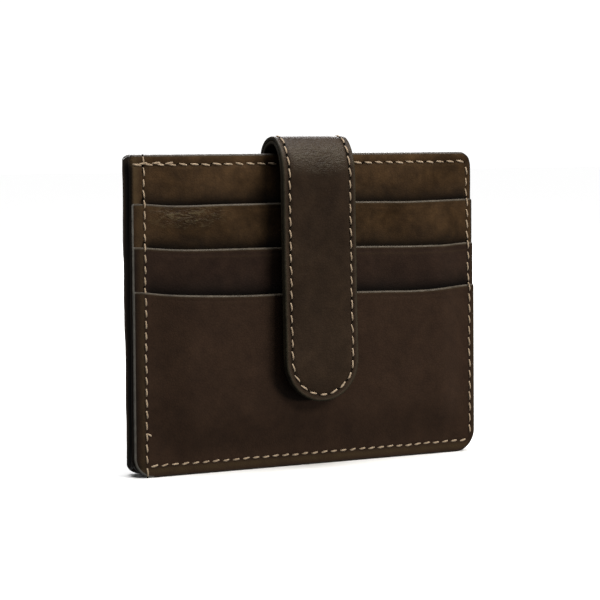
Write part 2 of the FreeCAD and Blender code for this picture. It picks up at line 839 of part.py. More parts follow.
def bar_x(name, level, sign, x0, x1, z):
    y0, y1 = (-(level + thread_h), -level) if sign < 0 else (level, level + thread_h)
    return block(name, x0, x1, y0, y1, z - tw2, z + tw2)


def bar_z(name, level, sign, x, z0, z1):
    y0, y1 = (-(level + thread_h), -level) if sign < 0 else (level, level + thread_h)
    return block(name, x - tw2, x + tw2, y0, y1, z0, z1)


def back_bar(name, x0, x1, level, z):
    """A stitch line along the back wall, which follows its slant."""
    body = new_body(name, name)
    plan = new_sketch(body, name + "Plan", "XY_Plane", left, -y_skin, z - tw2)
    level = dim(level)
    if dim(x0).value < knee.value:
        back_sheet(plan, x0, x1, level, level + thread_h)
    else:
        polygon(
            plan,
            [
                (x0, flat + level),
                (x1, flat + level),
                (x1, flat + level + thread_h),
                (x0, flat + level + thread_h),
            ],
        )
    pad(body, plan, name + "Pad", thread_w)
    return body


PARTS["thread_perimeter"] = group(
    "ThreadPerimeter",
    "thread_perimeter",
    [
        bar_x("SeamTopFront", y_skin, -1, x_run, x_side + tw2, z_top),
        bar_z("SeamSideSkin", y_skin, -1, x_side, e1, z_top - tw2),
        bar_z("SeamSideOne", y_p1, -1, x_side, e2, e1),
        bar_z("SeamSideTwo", y_p2, -1, x_side, e3, e2),
        bar_z("SeamSideThree", y_p3, -1, x_side, z_foot + tw2, e3),
        bar_x("SeamFootFront", y_p3, -1, x_fold + tw2 + 0.1, x_side + tw2, z_foot),
        back_bar("SeamTopBackLeft", rf + 0.4, W / 2 - half_tab - 0.4, 0.0, z_top),
        back_bar(
            "SeamTopBackRight",
            W / 2 + half_tab + 0.4,
            W - d["seam_side"] + tw2,
            0.0,
            z_top,
        ),
        bar_z("SeamSideBackSkin", y_skin, 1, x_side, eb, z_top - tw2),
        bar_z("SeamSideBackPocket", y_back_pocket, 1, x_side, z_foot + tw2, eb),
        back_bar(
            "SeamFootBack",
            d["seam_fold"] + tw2 + 0.1,
            W - d["seam_side"] + tw2,
            d["back_leather"],
            z_foot,
        ),
    ],
)
gap = tw2 + 0.05
seam_back = back_y(d["seam_fold"] - tw2, 0.0) - y_skin
seam_back_pocket = back_y(d["seam_fold"] - tw2, d["back_leather"]) - y_skin
PARTS["thread_fold_seam"] = group(
    "ThreadFoldSeam",
    "thread_fold_seam",
    [
        bar_z("FoldSeamTop", y_skin, -1, x_fold, z_top + gap, H - 0.3),
        bar_z("FoldSeamSkin", y_skin, -1, x_fold, e1, z_top - gap),
        bar_z("FoldSeamOne", y_p1, -1, x_fold, e2, e1),
        bar_z("FoldSeamTwo", y_p2, -1, x_fold, e3, e2),
        bar_z("FoldSeamThree", y_p3, -1, x_fold, 1.6, e3),
        bar_z("FoldSeamBackTop", seam_back, 1, x_fold, z_top + gap, H - 0.3),
        bar_z("FoldSeamBackSkin", seam_back, 1, x_fold, eb, z_top - gap),
        bar_z("FoldSeamBackPocket", seam_back_pocket, 1, x_fold, 1.6, eb),
    ],
)
ax = half_tab - seam_in
a0, a1 = d["anchor_foot"] + seam_in, d["hinge_height"] - seam_in
PARTS["thread_anchor"] = group(
    "ThreadAnchor",
    "thread_anchor",
    [
        bar_z("AnchorLeft", y_tail, 1, -ax, a0 + tw2, a1 - tw2),
        bar_z("AnchorRight", y_tail, 1, ax, a0 + tw2, a1 - tw2),
        bar_x("AnchorFoot", y_tail, 1, -ax - tw2, ax + tw2, a0),
        bar_x("AnchorTop", y_tail, 1, -ax - tw2, ax + tw2, a1),
    ],
)

# ------------------------------------------------------------------- checking
doc.recompute()
for obj in doc.Objects:
    if "Invalid" in obj.State or "Error" in obj.State:
        raise RuntimeError("%s (%s) failed: %s" % (obj.Name, obj.Label, obj.State))
for label, obj in PARTS.items():
    shape = obj.Shape
    if obj.Label != label:
        raise RuntimeError("label of %s is %s" % (label, obj.Label))
    if shape.isNull() or not shape.isValid() or shape.Volume <= 0.01:
        raise RuntimeError("bad shape: " + label)
if len(PARTS) > 60:
    raise RuntimeError("too many parts")

os.makedirs("parts", exist_ok=True)
for label, obj in PARTS.items():
    obj.Shape.exportStep(os.path.join("parts", label + ".step"))
    b = obj.Shape.BoundBox
    print(
        "%-20s solids %3d volume %9.2f  x %7.2f %7.2f  y %6.2f %6.2f  z %6.2f %6.2f"
        % (
            label,
            len(obj.Shape.Solids),
            obj.Shape.Volume,
            b.XMin,
            b.XMax,
            b.YMin,
            b.YMax,
            b.ZMin,
            b.ZMax,
        )
    )
print("parts", len(PARTS))
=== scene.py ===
import math

import bmesh
import bpy
import numpy as np
from mathutils import Matrix, Vector


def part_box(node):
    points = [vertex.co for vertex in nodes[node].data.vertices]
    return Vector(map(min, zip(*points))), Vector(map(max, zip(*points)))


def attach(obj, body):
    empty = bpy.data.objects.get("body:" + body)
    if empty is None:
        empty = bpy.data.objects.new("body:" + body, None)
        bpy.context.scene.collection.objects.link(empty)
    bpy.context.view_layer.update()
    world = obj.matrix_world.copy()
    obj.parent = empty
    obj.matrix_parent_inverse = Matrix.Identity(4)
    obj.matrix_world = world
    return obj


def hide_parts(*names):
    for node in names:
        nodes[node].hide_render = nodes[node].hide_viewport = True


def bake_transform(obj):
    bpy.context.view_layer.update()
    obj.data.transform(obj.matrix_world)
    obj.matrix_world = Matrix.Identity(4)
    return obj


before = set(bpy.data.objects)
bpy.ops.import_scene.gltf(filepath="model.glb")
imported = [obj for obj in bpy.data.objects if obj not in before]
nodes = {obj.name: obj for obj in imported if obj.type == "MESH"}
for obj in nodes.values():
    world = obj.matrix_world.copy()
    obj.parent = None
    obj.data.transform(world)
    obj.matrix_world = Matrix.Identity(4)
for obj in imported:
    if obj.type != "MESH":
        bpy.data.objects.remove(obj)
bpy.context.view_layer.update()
MM = 0.001
scene = bpy.context.scene
scene.view_settings.view_transform = "Standard"
scene.view_settings.look = "None"

# ---------------------------------------------------------------- camera
YAW, PITCH, ROLL = math.radians(28.03), math.radians(2.54), math.radians(-0.39)
ahead = np.array([math.sin(YAW) * math.cos(PITCH), math.cos(YAW) * math.cos(PITCH), -math.sin(PITCH)])
right0 = np.array([math.cos(YAW), -math.sin(YAW), 0.0])
up0 = np.cross(right0, ahead)
right = right0 * math.cos(ROLL) + up0 * math.sin(ROLL)
up = -right0 * math.sin(ROLL) + up0 * math.cos(ROLL)
cam_data = bpy.data.cameras.new("camera")
cam_data.lens = 36.0 * 2118.0 / 600.0
cam_data.sensor_width = 36.0
cam_data.shift_y = -0.1
cam_data.clip_start = 0.01
cam_data.clip_end = 50.0
camera = bpy.data.objects.new("camera", cam_data)
scene.collection.objects.link(camera)
camera.matrix_world = Matrix(
    (
        (right[0], up[0], -ahead[0], -0.26526),
        (right[1], up[1], -ahead[1], -0.49606),
        (right[2], up[2], -ahead[2], 0.08441),
        (0, 0, 0, 1),
    )
)
scene.camera = camera


# ---------------------------------------------------------------- small maths
def smooth(x, a, b):
    t = np.clip((np.asarray(x, float) - a) / (b - a), 0, 1)
    return t * t * (3 - 2 * t)


def bump(x, centre, width):
    return np.exp(-(((np.asarray(x, float) - centre) / width) ** 2))


def waves(x, z, seed, length, count=7):
    """A smooth, irregular field of about unit size, whose features are about `length` mm across."""
    rng = np.random.default_rng(seed)
    total = np.zeros(np.broadcast(x, z).shape)
    for _ in range(count):
        angle = rng.uniform(0, 2 * math.pi)
        k = 2 * math.pi / (length * rng.uniform(0.7, 1.6))
        total = total + np.sin(k * (x * math.cos(angle) + z * math.sin(angle)) + rng.uniform(0, 6.283))
    return total / math.sqrt(count)


def spread(a, b, step, fine=(), fine_step=0.3, reach=1.3):
    """Places from a to b, `step` apart, and closer together near each place in `fine`."""
    t = np.linspace(a, b, 4000)
    density = np.full(t.size, 1.0 / step)
    for f in fine:
        density = np.maximum(density, 1.0 / step + (1.0 / fine_step - 1.0 / step) * np.exp(-(((t - f) / reach) ** 4)))
    total = np.concatenate([[0], np.cumsum((density[1:] + density[:-1]) / 2 * np.diff(t))])
    count = max(2, int(math.ceil(total[-1])))
    return np.interp(np.linspace(0, total[-1], count + 1), total, t)


# ---------------------------------------------------------------- sheets of leather and cloth
def outline_rows(u0, u1, v0, v1, corners, inset, mid, turns):
    """Left and right ends of each row of a rounded rectangle that is drawn in by `inset`."""
    bl, br, tl, tr = corners
    left, rgt = [], []
    for a in turns:
        s, c = math.sin(a), math.cos(a)
        left.append((u0 + bl - (bl - inset) * s, v0 + bl - (bl - inset) * c))
        rgt.append((u1 - br + (br - inset) * s, v0 + br - (br - inset) * c))
    for f in mid[1:-1]:
        left.append((u0 + inset, v0 + bl + f * (v1 - tl - v0 - bl)))
        rgt.append((u1 - inset, v0 + br + f * (v1 - tr - v0 - br)))
    for a in turns[::-1]:
        s, c = math.sin(a), math.cos(a)
        left.append((u0 + tl - (tl - inset) * s, v1 - tl + (tl - inset) * c))
        rgt.append((u1 - tr + (tr - inset) * s, v1 - tr + (tr - inset) * c))
    return np.array(left), np.array(rgt)


def mesh_object(name, verts, faces, materials, indices, shade=True):
    mesh = bpy.data.meshes.new(name)
    mesh.from_pydata([tuple(v) for v in verts], [], faces)
    for m in materials:
        mesh.materials.append(m)
    mesh.polygons.foreach_set("material_index", indices)
    bm = bmesh.new()
    bm.from_mesh(mesh)
    bmesh.ops.recalc_face_normals(bm, faces=bm.faces)
    bm.to_mesh(mesh)
    bm.free()
    if shade:
        mesh.polygons.foreach_set("use_smooth", [True] * len(mesh.polygons))
    mesh.update()
    obj = bpy.data.objects.new(name, mesh)
    scene.collection.objects.link(obj)
    return obj


def sheet_mesh(name, u, v, corners, thick, edge, place, relief, materials, step=0.9, fine_u=(), fine_v=(), fine_step=0.3, arcs=4, wear_and_highlight=None, grime_and_shade=None):
    """A closed sheet: a rounded rectangle u x v with rounded edges. `place` puts (u, v, n) in space, n = 0 on the outer
    face and -thick inside.
    materials are the outer face's, the top edge's, the inner face's and the other edges'. Two layers are kept on the
    mesh for its leather to use: one lightens the colour (rubbed wear and painted highlight), one darkens it (grime,
    darker seams and painted shade)."""
    (u0, u1), (v0, v1) = u, v
    corners = tuple(max(c, edge * 1.05) for c in corners)
    turn_count = max(5, int(max(corners) / 0.55))
    turns = list(np.linspace(0, math.pi / 2, turn_count))
    low, high = v0 + max(corners[0], corners[1]), v1 - max(corners[2], corners[3])
    rows_mid = spread(low, high, step, fine_v, fine_step)
    mid = (rows_mid - low) / (high - low)
    cols = spread(u0, u1, step, fine_u, fine_step)
    frac = (cols - u0) / (u1 - u0)
    phi = np.linspace(0, math.pi / 2, arcs)
    profile = [(edge * (1 - math.sin(p)), -edge * (1 - math.cos(p))) for p in phi]
    profile += [(d, -thick - n) for d, n in profile[::-1]]
    verts, faces, index, flat = [], [], [], []

    def grid(inset):
        left, rgt = outline_rows(u0, u1, v0, v1, corners, inset, mid, turns)
        uu = left[:, :1] + (rgt[:, :1] - left[:, :1]) * frac[None, :]
        vv = left[:, 1:] + (rgt[:, 1:] - left[:, 1:]) * frac[None, :]
        return uu, vv

    uu, vv = grid(profile[0][0])
    rows, columns = uu.shape
    loop = [(0, i) for i in range(columns)] + [(j, columns - 1) for j in range(1, rows)]
    loop += [(rows - 1, i) for i in range(columns - 2, -1, -1)] + [(j, 0) for j in range(rows - 2, 0, -1)]
    lj, li = np.array([a for a, _ in loop]), np.array([b for _, b in loop])

    def add(uu, vv, n):
        weight = np.clip(1 + n / thick, 0, 1)
        points = place(uu, vv, n + relief(uu, vv) * weight)
        start = sum(len(x) for x in verts)
        verts.append(np.stack([np.asarray(p, float).ravel() for p in points], 1))
        flat.append(np.stack([uu.ravel(), vv.ravel(), (uu * 0 + n).ravel()], 1))
        return start

    front = add(uu, vv, np.full(uu.shape, profile[0][1]))
    j, i = np.meshgrid(np.arange(rows - 1), np.arange(columns - 1), indexing="ij")
    a = (j * columns + i).ravel()
    quads = np.stack([a, a + 1, a + columns + 1, a + columns], 1)
    faces.append(quads + front)
    index.append(np.zeros(len(quads), int))
    before = front + lj * columns + li
    side = np.where((lj == rows - 1) & (np.roll(lj, -1) == rows - 1), 1, 3 if len(materials) > 3 else 1)
    if len(materials) > 4:
        side = np.where((li == 0) & (np.roll(li, -1) == 0), 4, side)
    for inset, n in profile[1:-1]:
        gu, gv = grid(inset)
        gu, gv = gu[lj, li], gv[lj, li]
        start = add(gu, gv, np.full(gu.shape, n))
        now = start + np.arange(len(loop))
        faces.append(np.stack([before, np.roll(before, -1), np.roll(now, -1), now], 1))
        index.append(side)
        before = now
    back = add(uu, vv, np.full(uu.shape, profile[-1][1]))
    now = back + lj * columns + li
    faces.append(np.stack([before, np.roll(before, -1), np.roll(now, -1), now], 1))
    index.append(side)
    faces.append(quads[:, ::-1] + back)
    index.append(np.full(len(quads), 2 if len(materials) > 2 else 0))
    verts = np.concatenate(verts) * MM
    faces = np.concatenate(faces)
    flat = np.concatenate(flat)
    obj = mesh_object(name, verts, faces.tolist(), materials, np.concatenate(index).astype(np.int32))
    # The lightening layer holds rubbed wear and painted highlight; the darkening layer holds grime, darker seams and
    # painted shade.
    for label, field in (("wear_and_highlight", wear_and_highlight), ("grime_and_shade", grime_and_shade)):
        value = field(flat[:, 0], flat[:, 1]) if field else np.zeros(len(flat))
        layer = obj.data.attributes.new(label, "FLOAT", "POINT")
        layer.data.foreach_set("value", np.clip(value, 0, 1).astype(np.float32))
    return obj


# ---------------------------------------------------------------- plan of the folded skin
def build_path():
    """The skin's outer face seen from above, from the front's right edge, round the fold, to the back's right edge."""
    pts = [(51.25, -2.05), (-50.3, -2.05)]
    crest = 0.8
    cx, cy = -50.3, -2.05 + crest
    for a in np.linspace(-90, -180, 14)[1:]:
        pts.append((cx + crest * math.cos(math.radians(a)), cy + crest * math.sin(math.radians(a))))
    rim = 1.7
    slant = math.radians(6)
    rx, ry = -50.4 + rim, 3.75
    for a in np.linspace(180, 84, 15):
        pts.append((rx + rim * math.cos(math.radians(a)), ry + rim * math.sin(math.radians(a))))
    x0, y0 = pts[-1]
    knee = x0 + (y0 - 2.05) / math.tan(slant)
    for f in np.linspace(0, 1, 9)[1:]:
        x = knee - 6 + 12 * f
        pts.append((x, 2.05 + math.tan(slant) * 6 * (1 - f) ** 2))
    pts.append((51.25, 2.05))
    pts = np.array(pts)
    seg = np.hypot(*np.diff(pts, axis=0).T)
    s = np.concatenate([[0], np.cumsum(seg)])
    fine = np.arange(0, s[-1] + 0.05, 0.1)
    fine[-1] = s[-1]
    x, y = np.interp(fine, s, pts[:, 0]), np.interp(fine, s, pts[:, 1])
    nx, ny = np.gradient(y, fine), -np.gradient(x, fine)
    nx, ny = -nx, -ny
    kernel = np.hanning(9) / np.hanning(9).sum()
    pad = lambda q: np.convolve(np.concatenate([np.full(4, q[0]), q, np.full(4, q[-1])]), kernel, "valid")
    nx, ny = pad(nx), pad(ny)
    length = np.hypot(nx, ny)
    return fine, x, y, nx / length, ny / length


PATH_S, PATH_X, PATH_Y, PATH_NX, PATH_NY = build_path()
PATH_END = PATH_S[-1]
CREST_S = float(PATH_S[np.argmax(PATH_X < -51.05)])
RIM_S = float(PATH_S[np.argmax(PATH_Y > 3.75)])
VALLEY_S = CREST_S + 1.75
BACK_X = PATH_X[PATH_S > RIM_S + 1]
BACK_S = PATH_S[PATH_S > RIM_S + 1]


def front_s(x):
    return 51.25 - np.asarray(x, float)


def back_s(x):
    return np.interp(x, BACK_X, BACK_S)


def path_point(s, n):
    x, y = np.interp(s, PATH_S, PATH_X), np.interp(s, PATH_S, PATH_Y)
    nx, ny = np.interp(s, PATH_S, PATH_NX), np.interp(s, PATH_S, PATH_NY)
    return x + nx * n, y + ny * n


def fold_line(z):
    """The fold seam isn't quite upright: its top half is a little further in."""
    return -47.6 + 0.38 * smooth(z, 34, 70)


def skin_height(s, v):
    """Corners of the folded side: the skin's foot and top edges are cut round there."""
    x, y = np.interp(s, PATH_S, PATH_X), np.interp(s, PATH_S, PATH_Y)
    foot = 6 - np.sqrt(36 - np.clip(-45.4 - x, 0, 5.75) ** 2)
    r = 0.8 + 2.4 * smooth(y, -0.5, 4.0)
    drop = r - np.sqrt(np.maximum(r * r - np.clip(-51.25 + r - x, 0, 0.97 * r) ** 2, 0))
    foot = np.where(x > -45.4, 0, foot)
    side = np.interp(s, [CREST_S + 0.2, CREST_S + 1.2, RIM_S - 2.0, RIM_S - 0.9, RIM_S, RIM_S + 1.0], [4.3, 2.6, 1.7, 2.4, 4.0, 3.3])
    foot = np.where((s > CREST_S + 0.2) & (s < RIM_S + 1.0), side, foot)
    return v + foot * np.clip(1 - v / 14, 0, 1) ** 2 - drop * np.clip(1 - (82.5 - v) / 9, 0, 1) ** 2


def valley(s, v):
    fade = smooth(v, 0.5, 6) * (1 - smooth(v, 76, 81.5))
    return -2.1 * bump(s, VALLEY_S, 1.15) * (0.2 + 0.8 * fade)


def skin_relief(s, v):
    x = np.interp(s, PATH_S, PATH_X)
    back = smooth(s, RIM_S, RIM_S + 6)
    front = 1 - smooth(s, CREST_S - 2, CREST_S)
    seam = bump(v, 79.9, 0.5) + bump(x, 49.65, 0.5) * (front + back) + bump(v, 3.0, 0.5) * (front + back)
    seam = seam * (front + back) + bump(x, fold_line(v), 0.5) * (front + back)
    body = 0.07 * waves(s, v, 5, 26) + 0.03 * waves(s, v, 6, 9)
    swell = 0.10 * bump(v, 81.5, 0.9) * (front + back)
    swell = swell - 0.4 * bump(s, RIM_S, 2.2) * (1 - smooth(v, 8, 60))
    return valley(s, v) + body * smooth(v, 0, 4) * (1 - smooth(v, 78, 82)) - 0.16 * np.clip(seam, 0, 1) + swell


def skin_place(s, v, n):
    x, y = path_point(s, n)
    return x, y, skin_height(s, v)


# ---------------------------------------------------------------- the stack of card pockets
# (front face y, back face y, edge height, leather relief seed)
POCKETS = [(-3.25, -2.25, 69.3, 11), (-4.45, -3.45, 57.5, 12), (-5.80, -4.65, 45.5, 13)]
EDGE_X = np.array([-50, -47, -43.5, -39, -34, -26, -19, -12, 0, 14, 23, 29, 36, 42, 48, 51.25])
EDGE_DZ = [
    np.array([0.75, 0.70, 0.35, 0.10, 0.10, 0.25, 0.25, 0.29, 0.33, 0.26, 0.12, -0.01, 0.10, 0.20, 0.32, 0.32]),
    np.array([1.53, 1.36, 1.03, 0.72, 0.60, 0.53, 0.53, 0.50, 0.30, 0.13, -0.06, -0.21, -0.23, -0.27, 0.10, 0.15]),
    np.array([2.20, 1.95, 1.40, 1.10, 0.85, 0.53, 0.33, 0.37, 0.25, 0.10, -0.07, -0.29, -0.21, 0.14, 0.48, 0.63]),
]
KX = np.linspace(-50, 51.25, 400)


def edge_curve(k):
    y = np.interp(KX, EDGE_X, EDGE_DZ[k])
    w = np.hanning(31) / np.hanning(31).sum()
    return np.convolve(np.concatenate([np.full(15, y[0]), y, np.full(15, y[-1])]), w, "valid")


EDGE_SAG = [edge_curve(k) for k in range(3)]


def edge_height(k, x):
    return POCKETS[k][2] + np.interp(x, KX, EDGE_SAG[k])


def squeeze(x, z):
    """The stack is thin where it is sewn and full in the middle."""
    x, z = np.asarray(x, float), np.asarray(z, float)
    return (0.40 + 0.60 * smooth(x, -47.2, -35) * (1 - smooth(x, 38, 48.5)) * smooth(z, 3.5, 15)) * (0.24 + 0.76 * smooth(x, -51.6, -47.4))


def stack_y(y, x, z):
    return -2.05 + (y + 2.05) * squeeze(x, z)


def pocket_place(k, front):
    height = POCKETS[k][2]

    def place(x, v, n):
        z = v + np.interp(x, KX, EDGE_SAG[k]) * smooth(v, height - 34, height)
        bell = 0.5 * bump(v, height, 4.5) * smooth(x, -47, -30) * (1 - smooth(x, 30, 47))
        return x, stack_y(front - n, x, z) - bell * (1.0 if k < 2 else 0.25), z

    return place


def pocket_relief(k):
    height, seed = POCKETS[k][2], POCKETS[k][3]

    def relief(x, v):
        z = v + np.interp(x, KX, EDGE_SAG[k]) * smooth(v, height - 34, height)
        seam = bump(x, fold_line(z), 0.5) + bump(x, 49.65, 0.5) + bump(z, 3.0, 0.5)
        below = POCKETS[k + 1][2] + 3 if k < 2 else 6
        show = smooth(v, below - 4, below)
        crease = bump(v, height - 1.35, 0.28) * smooth(x, -47, -43) * (1 - smooth(x, 45, 48))
        body = 0.055 * waves(x, v, seed, 22) + 0.02 * waves(x, v, seed + 40, 7)
        return -0.2 * np.clip(seam, 0, 1) - 0.055 * crease + body * show * smooth(x, -46, -42) * (1 - smooth(x, 44, 48))

    return relief


def lip_shadow(k, x, z):
    """Painted shade in the corner above a pocket's edge: darkest just above the edge, fading upwards."""
    above = z - edge_height(k, x)
    return np.where(above > -0.6, np.exp(-((np.maximum(above, 0) / 3.0) ** 1.5)), 0) * smooth(x, -49.5, -45.5) * (1 - smooth(x, 48.5, 50.5))


def seam_line(x, z):
    return np.clip(bump(x, fold_line(z), 0.42) + bump(x, 49.65, 0.42) + bump(z, 3.0, 0.42), 0, 1)


def pocket_wear_and_highlight(k):
    height = POCKETS[k][2]

    def wear_and_highlight(x, v):
        # Rubbed margins outside the seams are paler.
        rim = np.maximum(bump(x, -48.5, 0.65), smooth(x, 50.1, 51.0))
        fold = (0.0, 0.35, 0.12)[k] * bump(v, height - 2.05, 0.22) * smooth(x, -40, -28)
        # Paler along the foot and in a line just below the lip; the band along the top lip is a painted highlight.
        return np.maximum(np.maximum(rim, bump(v, 1.7, 0.8)) * 0.9, np.maximum(0.9 * bump(v, height - 0.1, 0.55), fold))

    return wear_and_highlight


def pocket_shade_and_grime(k):
    height = POCKETS[k][2]

    def grime_and_shade(x, v):
        z = v + np.interp(x, KX, EDGE_SAG[k]) * smooth(v, height - 34, height)
        # Painted shade just above the next pocket's edge.
        dark = lip_shadow(k + 1, x, z) if k < 2 else 0 * x
        # Darker towards the left edge and along the foot.
        border = 0.6 * smooth(-x, 48.9, 49.8) + 0.8 * (1 - smooth(z, 0.15, 0.7))
        return np.maximum(np.maximum(dark, border), 0.4 * seam_line(x, z))

    return grime_and_shade


def skin_shade_and_grime(s, v):
    x = np.interp(s, PATH_S, PATH_X)
    front = 1 - smooth(s, CREST_S - 0.5, CREST_S)
    # Painted shade: side, deep and crest darken the fold's side, its valley and the front's turn at the crest beside
    # the pocket stack.
    side = smooth(s, CREST_S + 0.3, CREST_S + 1.0) * (1 - smooth(s, RIM_S - 1.2, RIM_S + 0.5))
    deep = smooth(s, CREST_S + 0.35, CREST_S + 0.9) * (1 - smooth(s, RIM_S - 1.9, RIM_S - 0.8)) * (1 - smooth(v, 79.5, 82))
    deep = np.maximum(deep, side * (1 - smooth(v, 5, 14)))
    crest = 0.9 * smooth(-x, 49.8, 50.5) * (1 - smooth(s, CREST_S + 0.8, CREST_S + 1.2)) * (s < CREST_S + 1.2) * (1 - smooth(v, 79, 81.5))
    deep = np.maximum(deep, crest)
    # Darker seams.
    line = np.clip(bump(v, 79.9, 0.42) + bump(x, 49.65, 0.42) + bump(x, fold_line(v), 0.42), 0, 1)
    # Painted shade above the upper pocket's edge, together with the darker seams and the fold's painted shade.
    return np.maximum(np.maximum(lip_shadow(0, x, v) * front, np.maximum(0.35 * side, deep)), 0.35 * line * (1 - side))


def skin_wear_and_highlight(s, v):
    x = np.interp(s, PATH_S, PATH_X)
    front = 1 - smooth(s, CREST_S - 0.5, CREST_S)
    # Paler along the front's left margin and crest and in a band along the top edge: partly rubbed wear and partly
    # painted highlight.
    return np.maximum((1 - smooth(x, -49.6, -47.9)) * front, 0.5 * bump(v, 82.2, 0.6)) * 0.7


def front_y(x, z):
    """The outermost leather of the front at (x, z), and which layer it is."""
    x, z = np.asarray(x, float), np.asarray(z, float)
    y = np.full(np.broadcast(x, z).shape, -2.05)
    for k in range(3):
        y = np.where(z < edge_height(k, x), stack_y(POCKETS[k][0], x, z), y)
    return y


# ---------------------------------------------------------------- materials
def node_tree(name):
    mat = bpy.data.materials.new(name)
    mat.use_nodes = True
    tree = mat.node_tree
    tree.nodes.clear()
    out = tree.nodes.new("ShaderNodeOutputMaterial")
    bsdf = tree.nodes.new("ShaderNodeBsdfPrincipled")
    tree.links.new(bsdf.outputs[0], out.inputs[0])
    coord = tree.nodes.new("ShaderNodeTexCoord")
    return mat, tree, bsdf, coord.outputs["Object"]


def noise(tree, vector, scale, detail=3.0, rough=0.55, distortion=0.0):
    n = tree.nodes.new("ShaderNodeTexNoise")
    n.inputs["Scale"].default_value = scale
    n.inputs["Detail"].default_value = detail
    n.inputs["Roughness"].default_value = rough
    n.inputs["Distortion"].default_value = distortion
    tree.links.new(vector, n.inputs["Vector"])
    return n.outputs["Fac"]


def voronoi(tree, vector, scale, feature="DISTANCE_TO_EDGE"):
    n = tree.nodes.new("ShaderNodeTexVoronoi")
    n.feature = feature
    n.inputs["Scale"].default_value = scale
    tree.links.new(vector, n.inputs["Vector"])
    return n.outputs["Distance"]


def ramp(tree, factor, stops):
    n = tree.nodes.new("ShaderNodeValToRGB")
    e = n.color_ramp.elements
    while len(e) > 1:
        e.remove(e[-1])
    e[0].position, e[0].color = stops[0][0], (*stops[0][1], 1)
    for p, c in stops[1:]:
        x = e.new(p)
        x.color = (*c, 1)
    tree.links.new(factor, n.inputs["Fac"])
    return n.outputs["Color"]


def remap(tree, value, a, b, c, d):
    n = tree.nodes.new("ShaderNodeMapRange")
    for k, x in zip(("From Min", "From Max", "To Min", "To Max"), (a, b, c, d)):
        n.inputs[k].default_value = x
    tree.links.new(value, n.inputs["Value"])
    return n.outputs["Result"]


def math_node(tree, op, a, b):
    n = tree.nodes.new("ShaderNodeMath")
    n.operation = op
    for k, x in ((0, a), (1, b)):
        if isinstance(x, (int, float)):
            n.inputs[k].default_value = x
        else:
            tree.links.new(x, n.inputs[k])
    return n.outputs[0]


def mix(tree, kind, factor, a, b):
    n = tree.nodes.new("ShaderNodeMix")
    n.data_type = "RGBA"
    n.blend_type = kind
    for socket, x in ((n.inputs[0], factor), (n.inputs[6], a), (n.inputs[7], b)):
        if isinstance(x, (int, float)):
            socket.default_value = x
        elif isinstance(x, tuple):
            socket.default_value = (*x, 1)
        else:
            tree.links.new(x, socket)
    return n.outputs[2]


def add_bump(tree, height, distance, strength=1.0, normal=None):
    n = tree.nodes.new("ShaderNodeBump")
    n.inputs["Distance"].default_value = distance
    n.inputs["Strength"].default_value = strength
    tree.links.new(height, n.inputs["Height"])
    if normal is not None:
        tree.links.new(normal, n.inputs["Normal"])
    return n.outputs["Normal"]


def layer(tree, name):
    n = tree.nodes.new("ShaderNodeAttribute")
    n.attribute_type = "GEOMETRY"
    n.attribute_name = name
    return n.outputs["Fac"]


def lin(r, g, b):
    return tuple(((c / 255) / 12.92 if c / 255 <= 0.04045 else ((c / 255 + 0.055) / 1.055) ** 2.4) for c in (r, g, b))


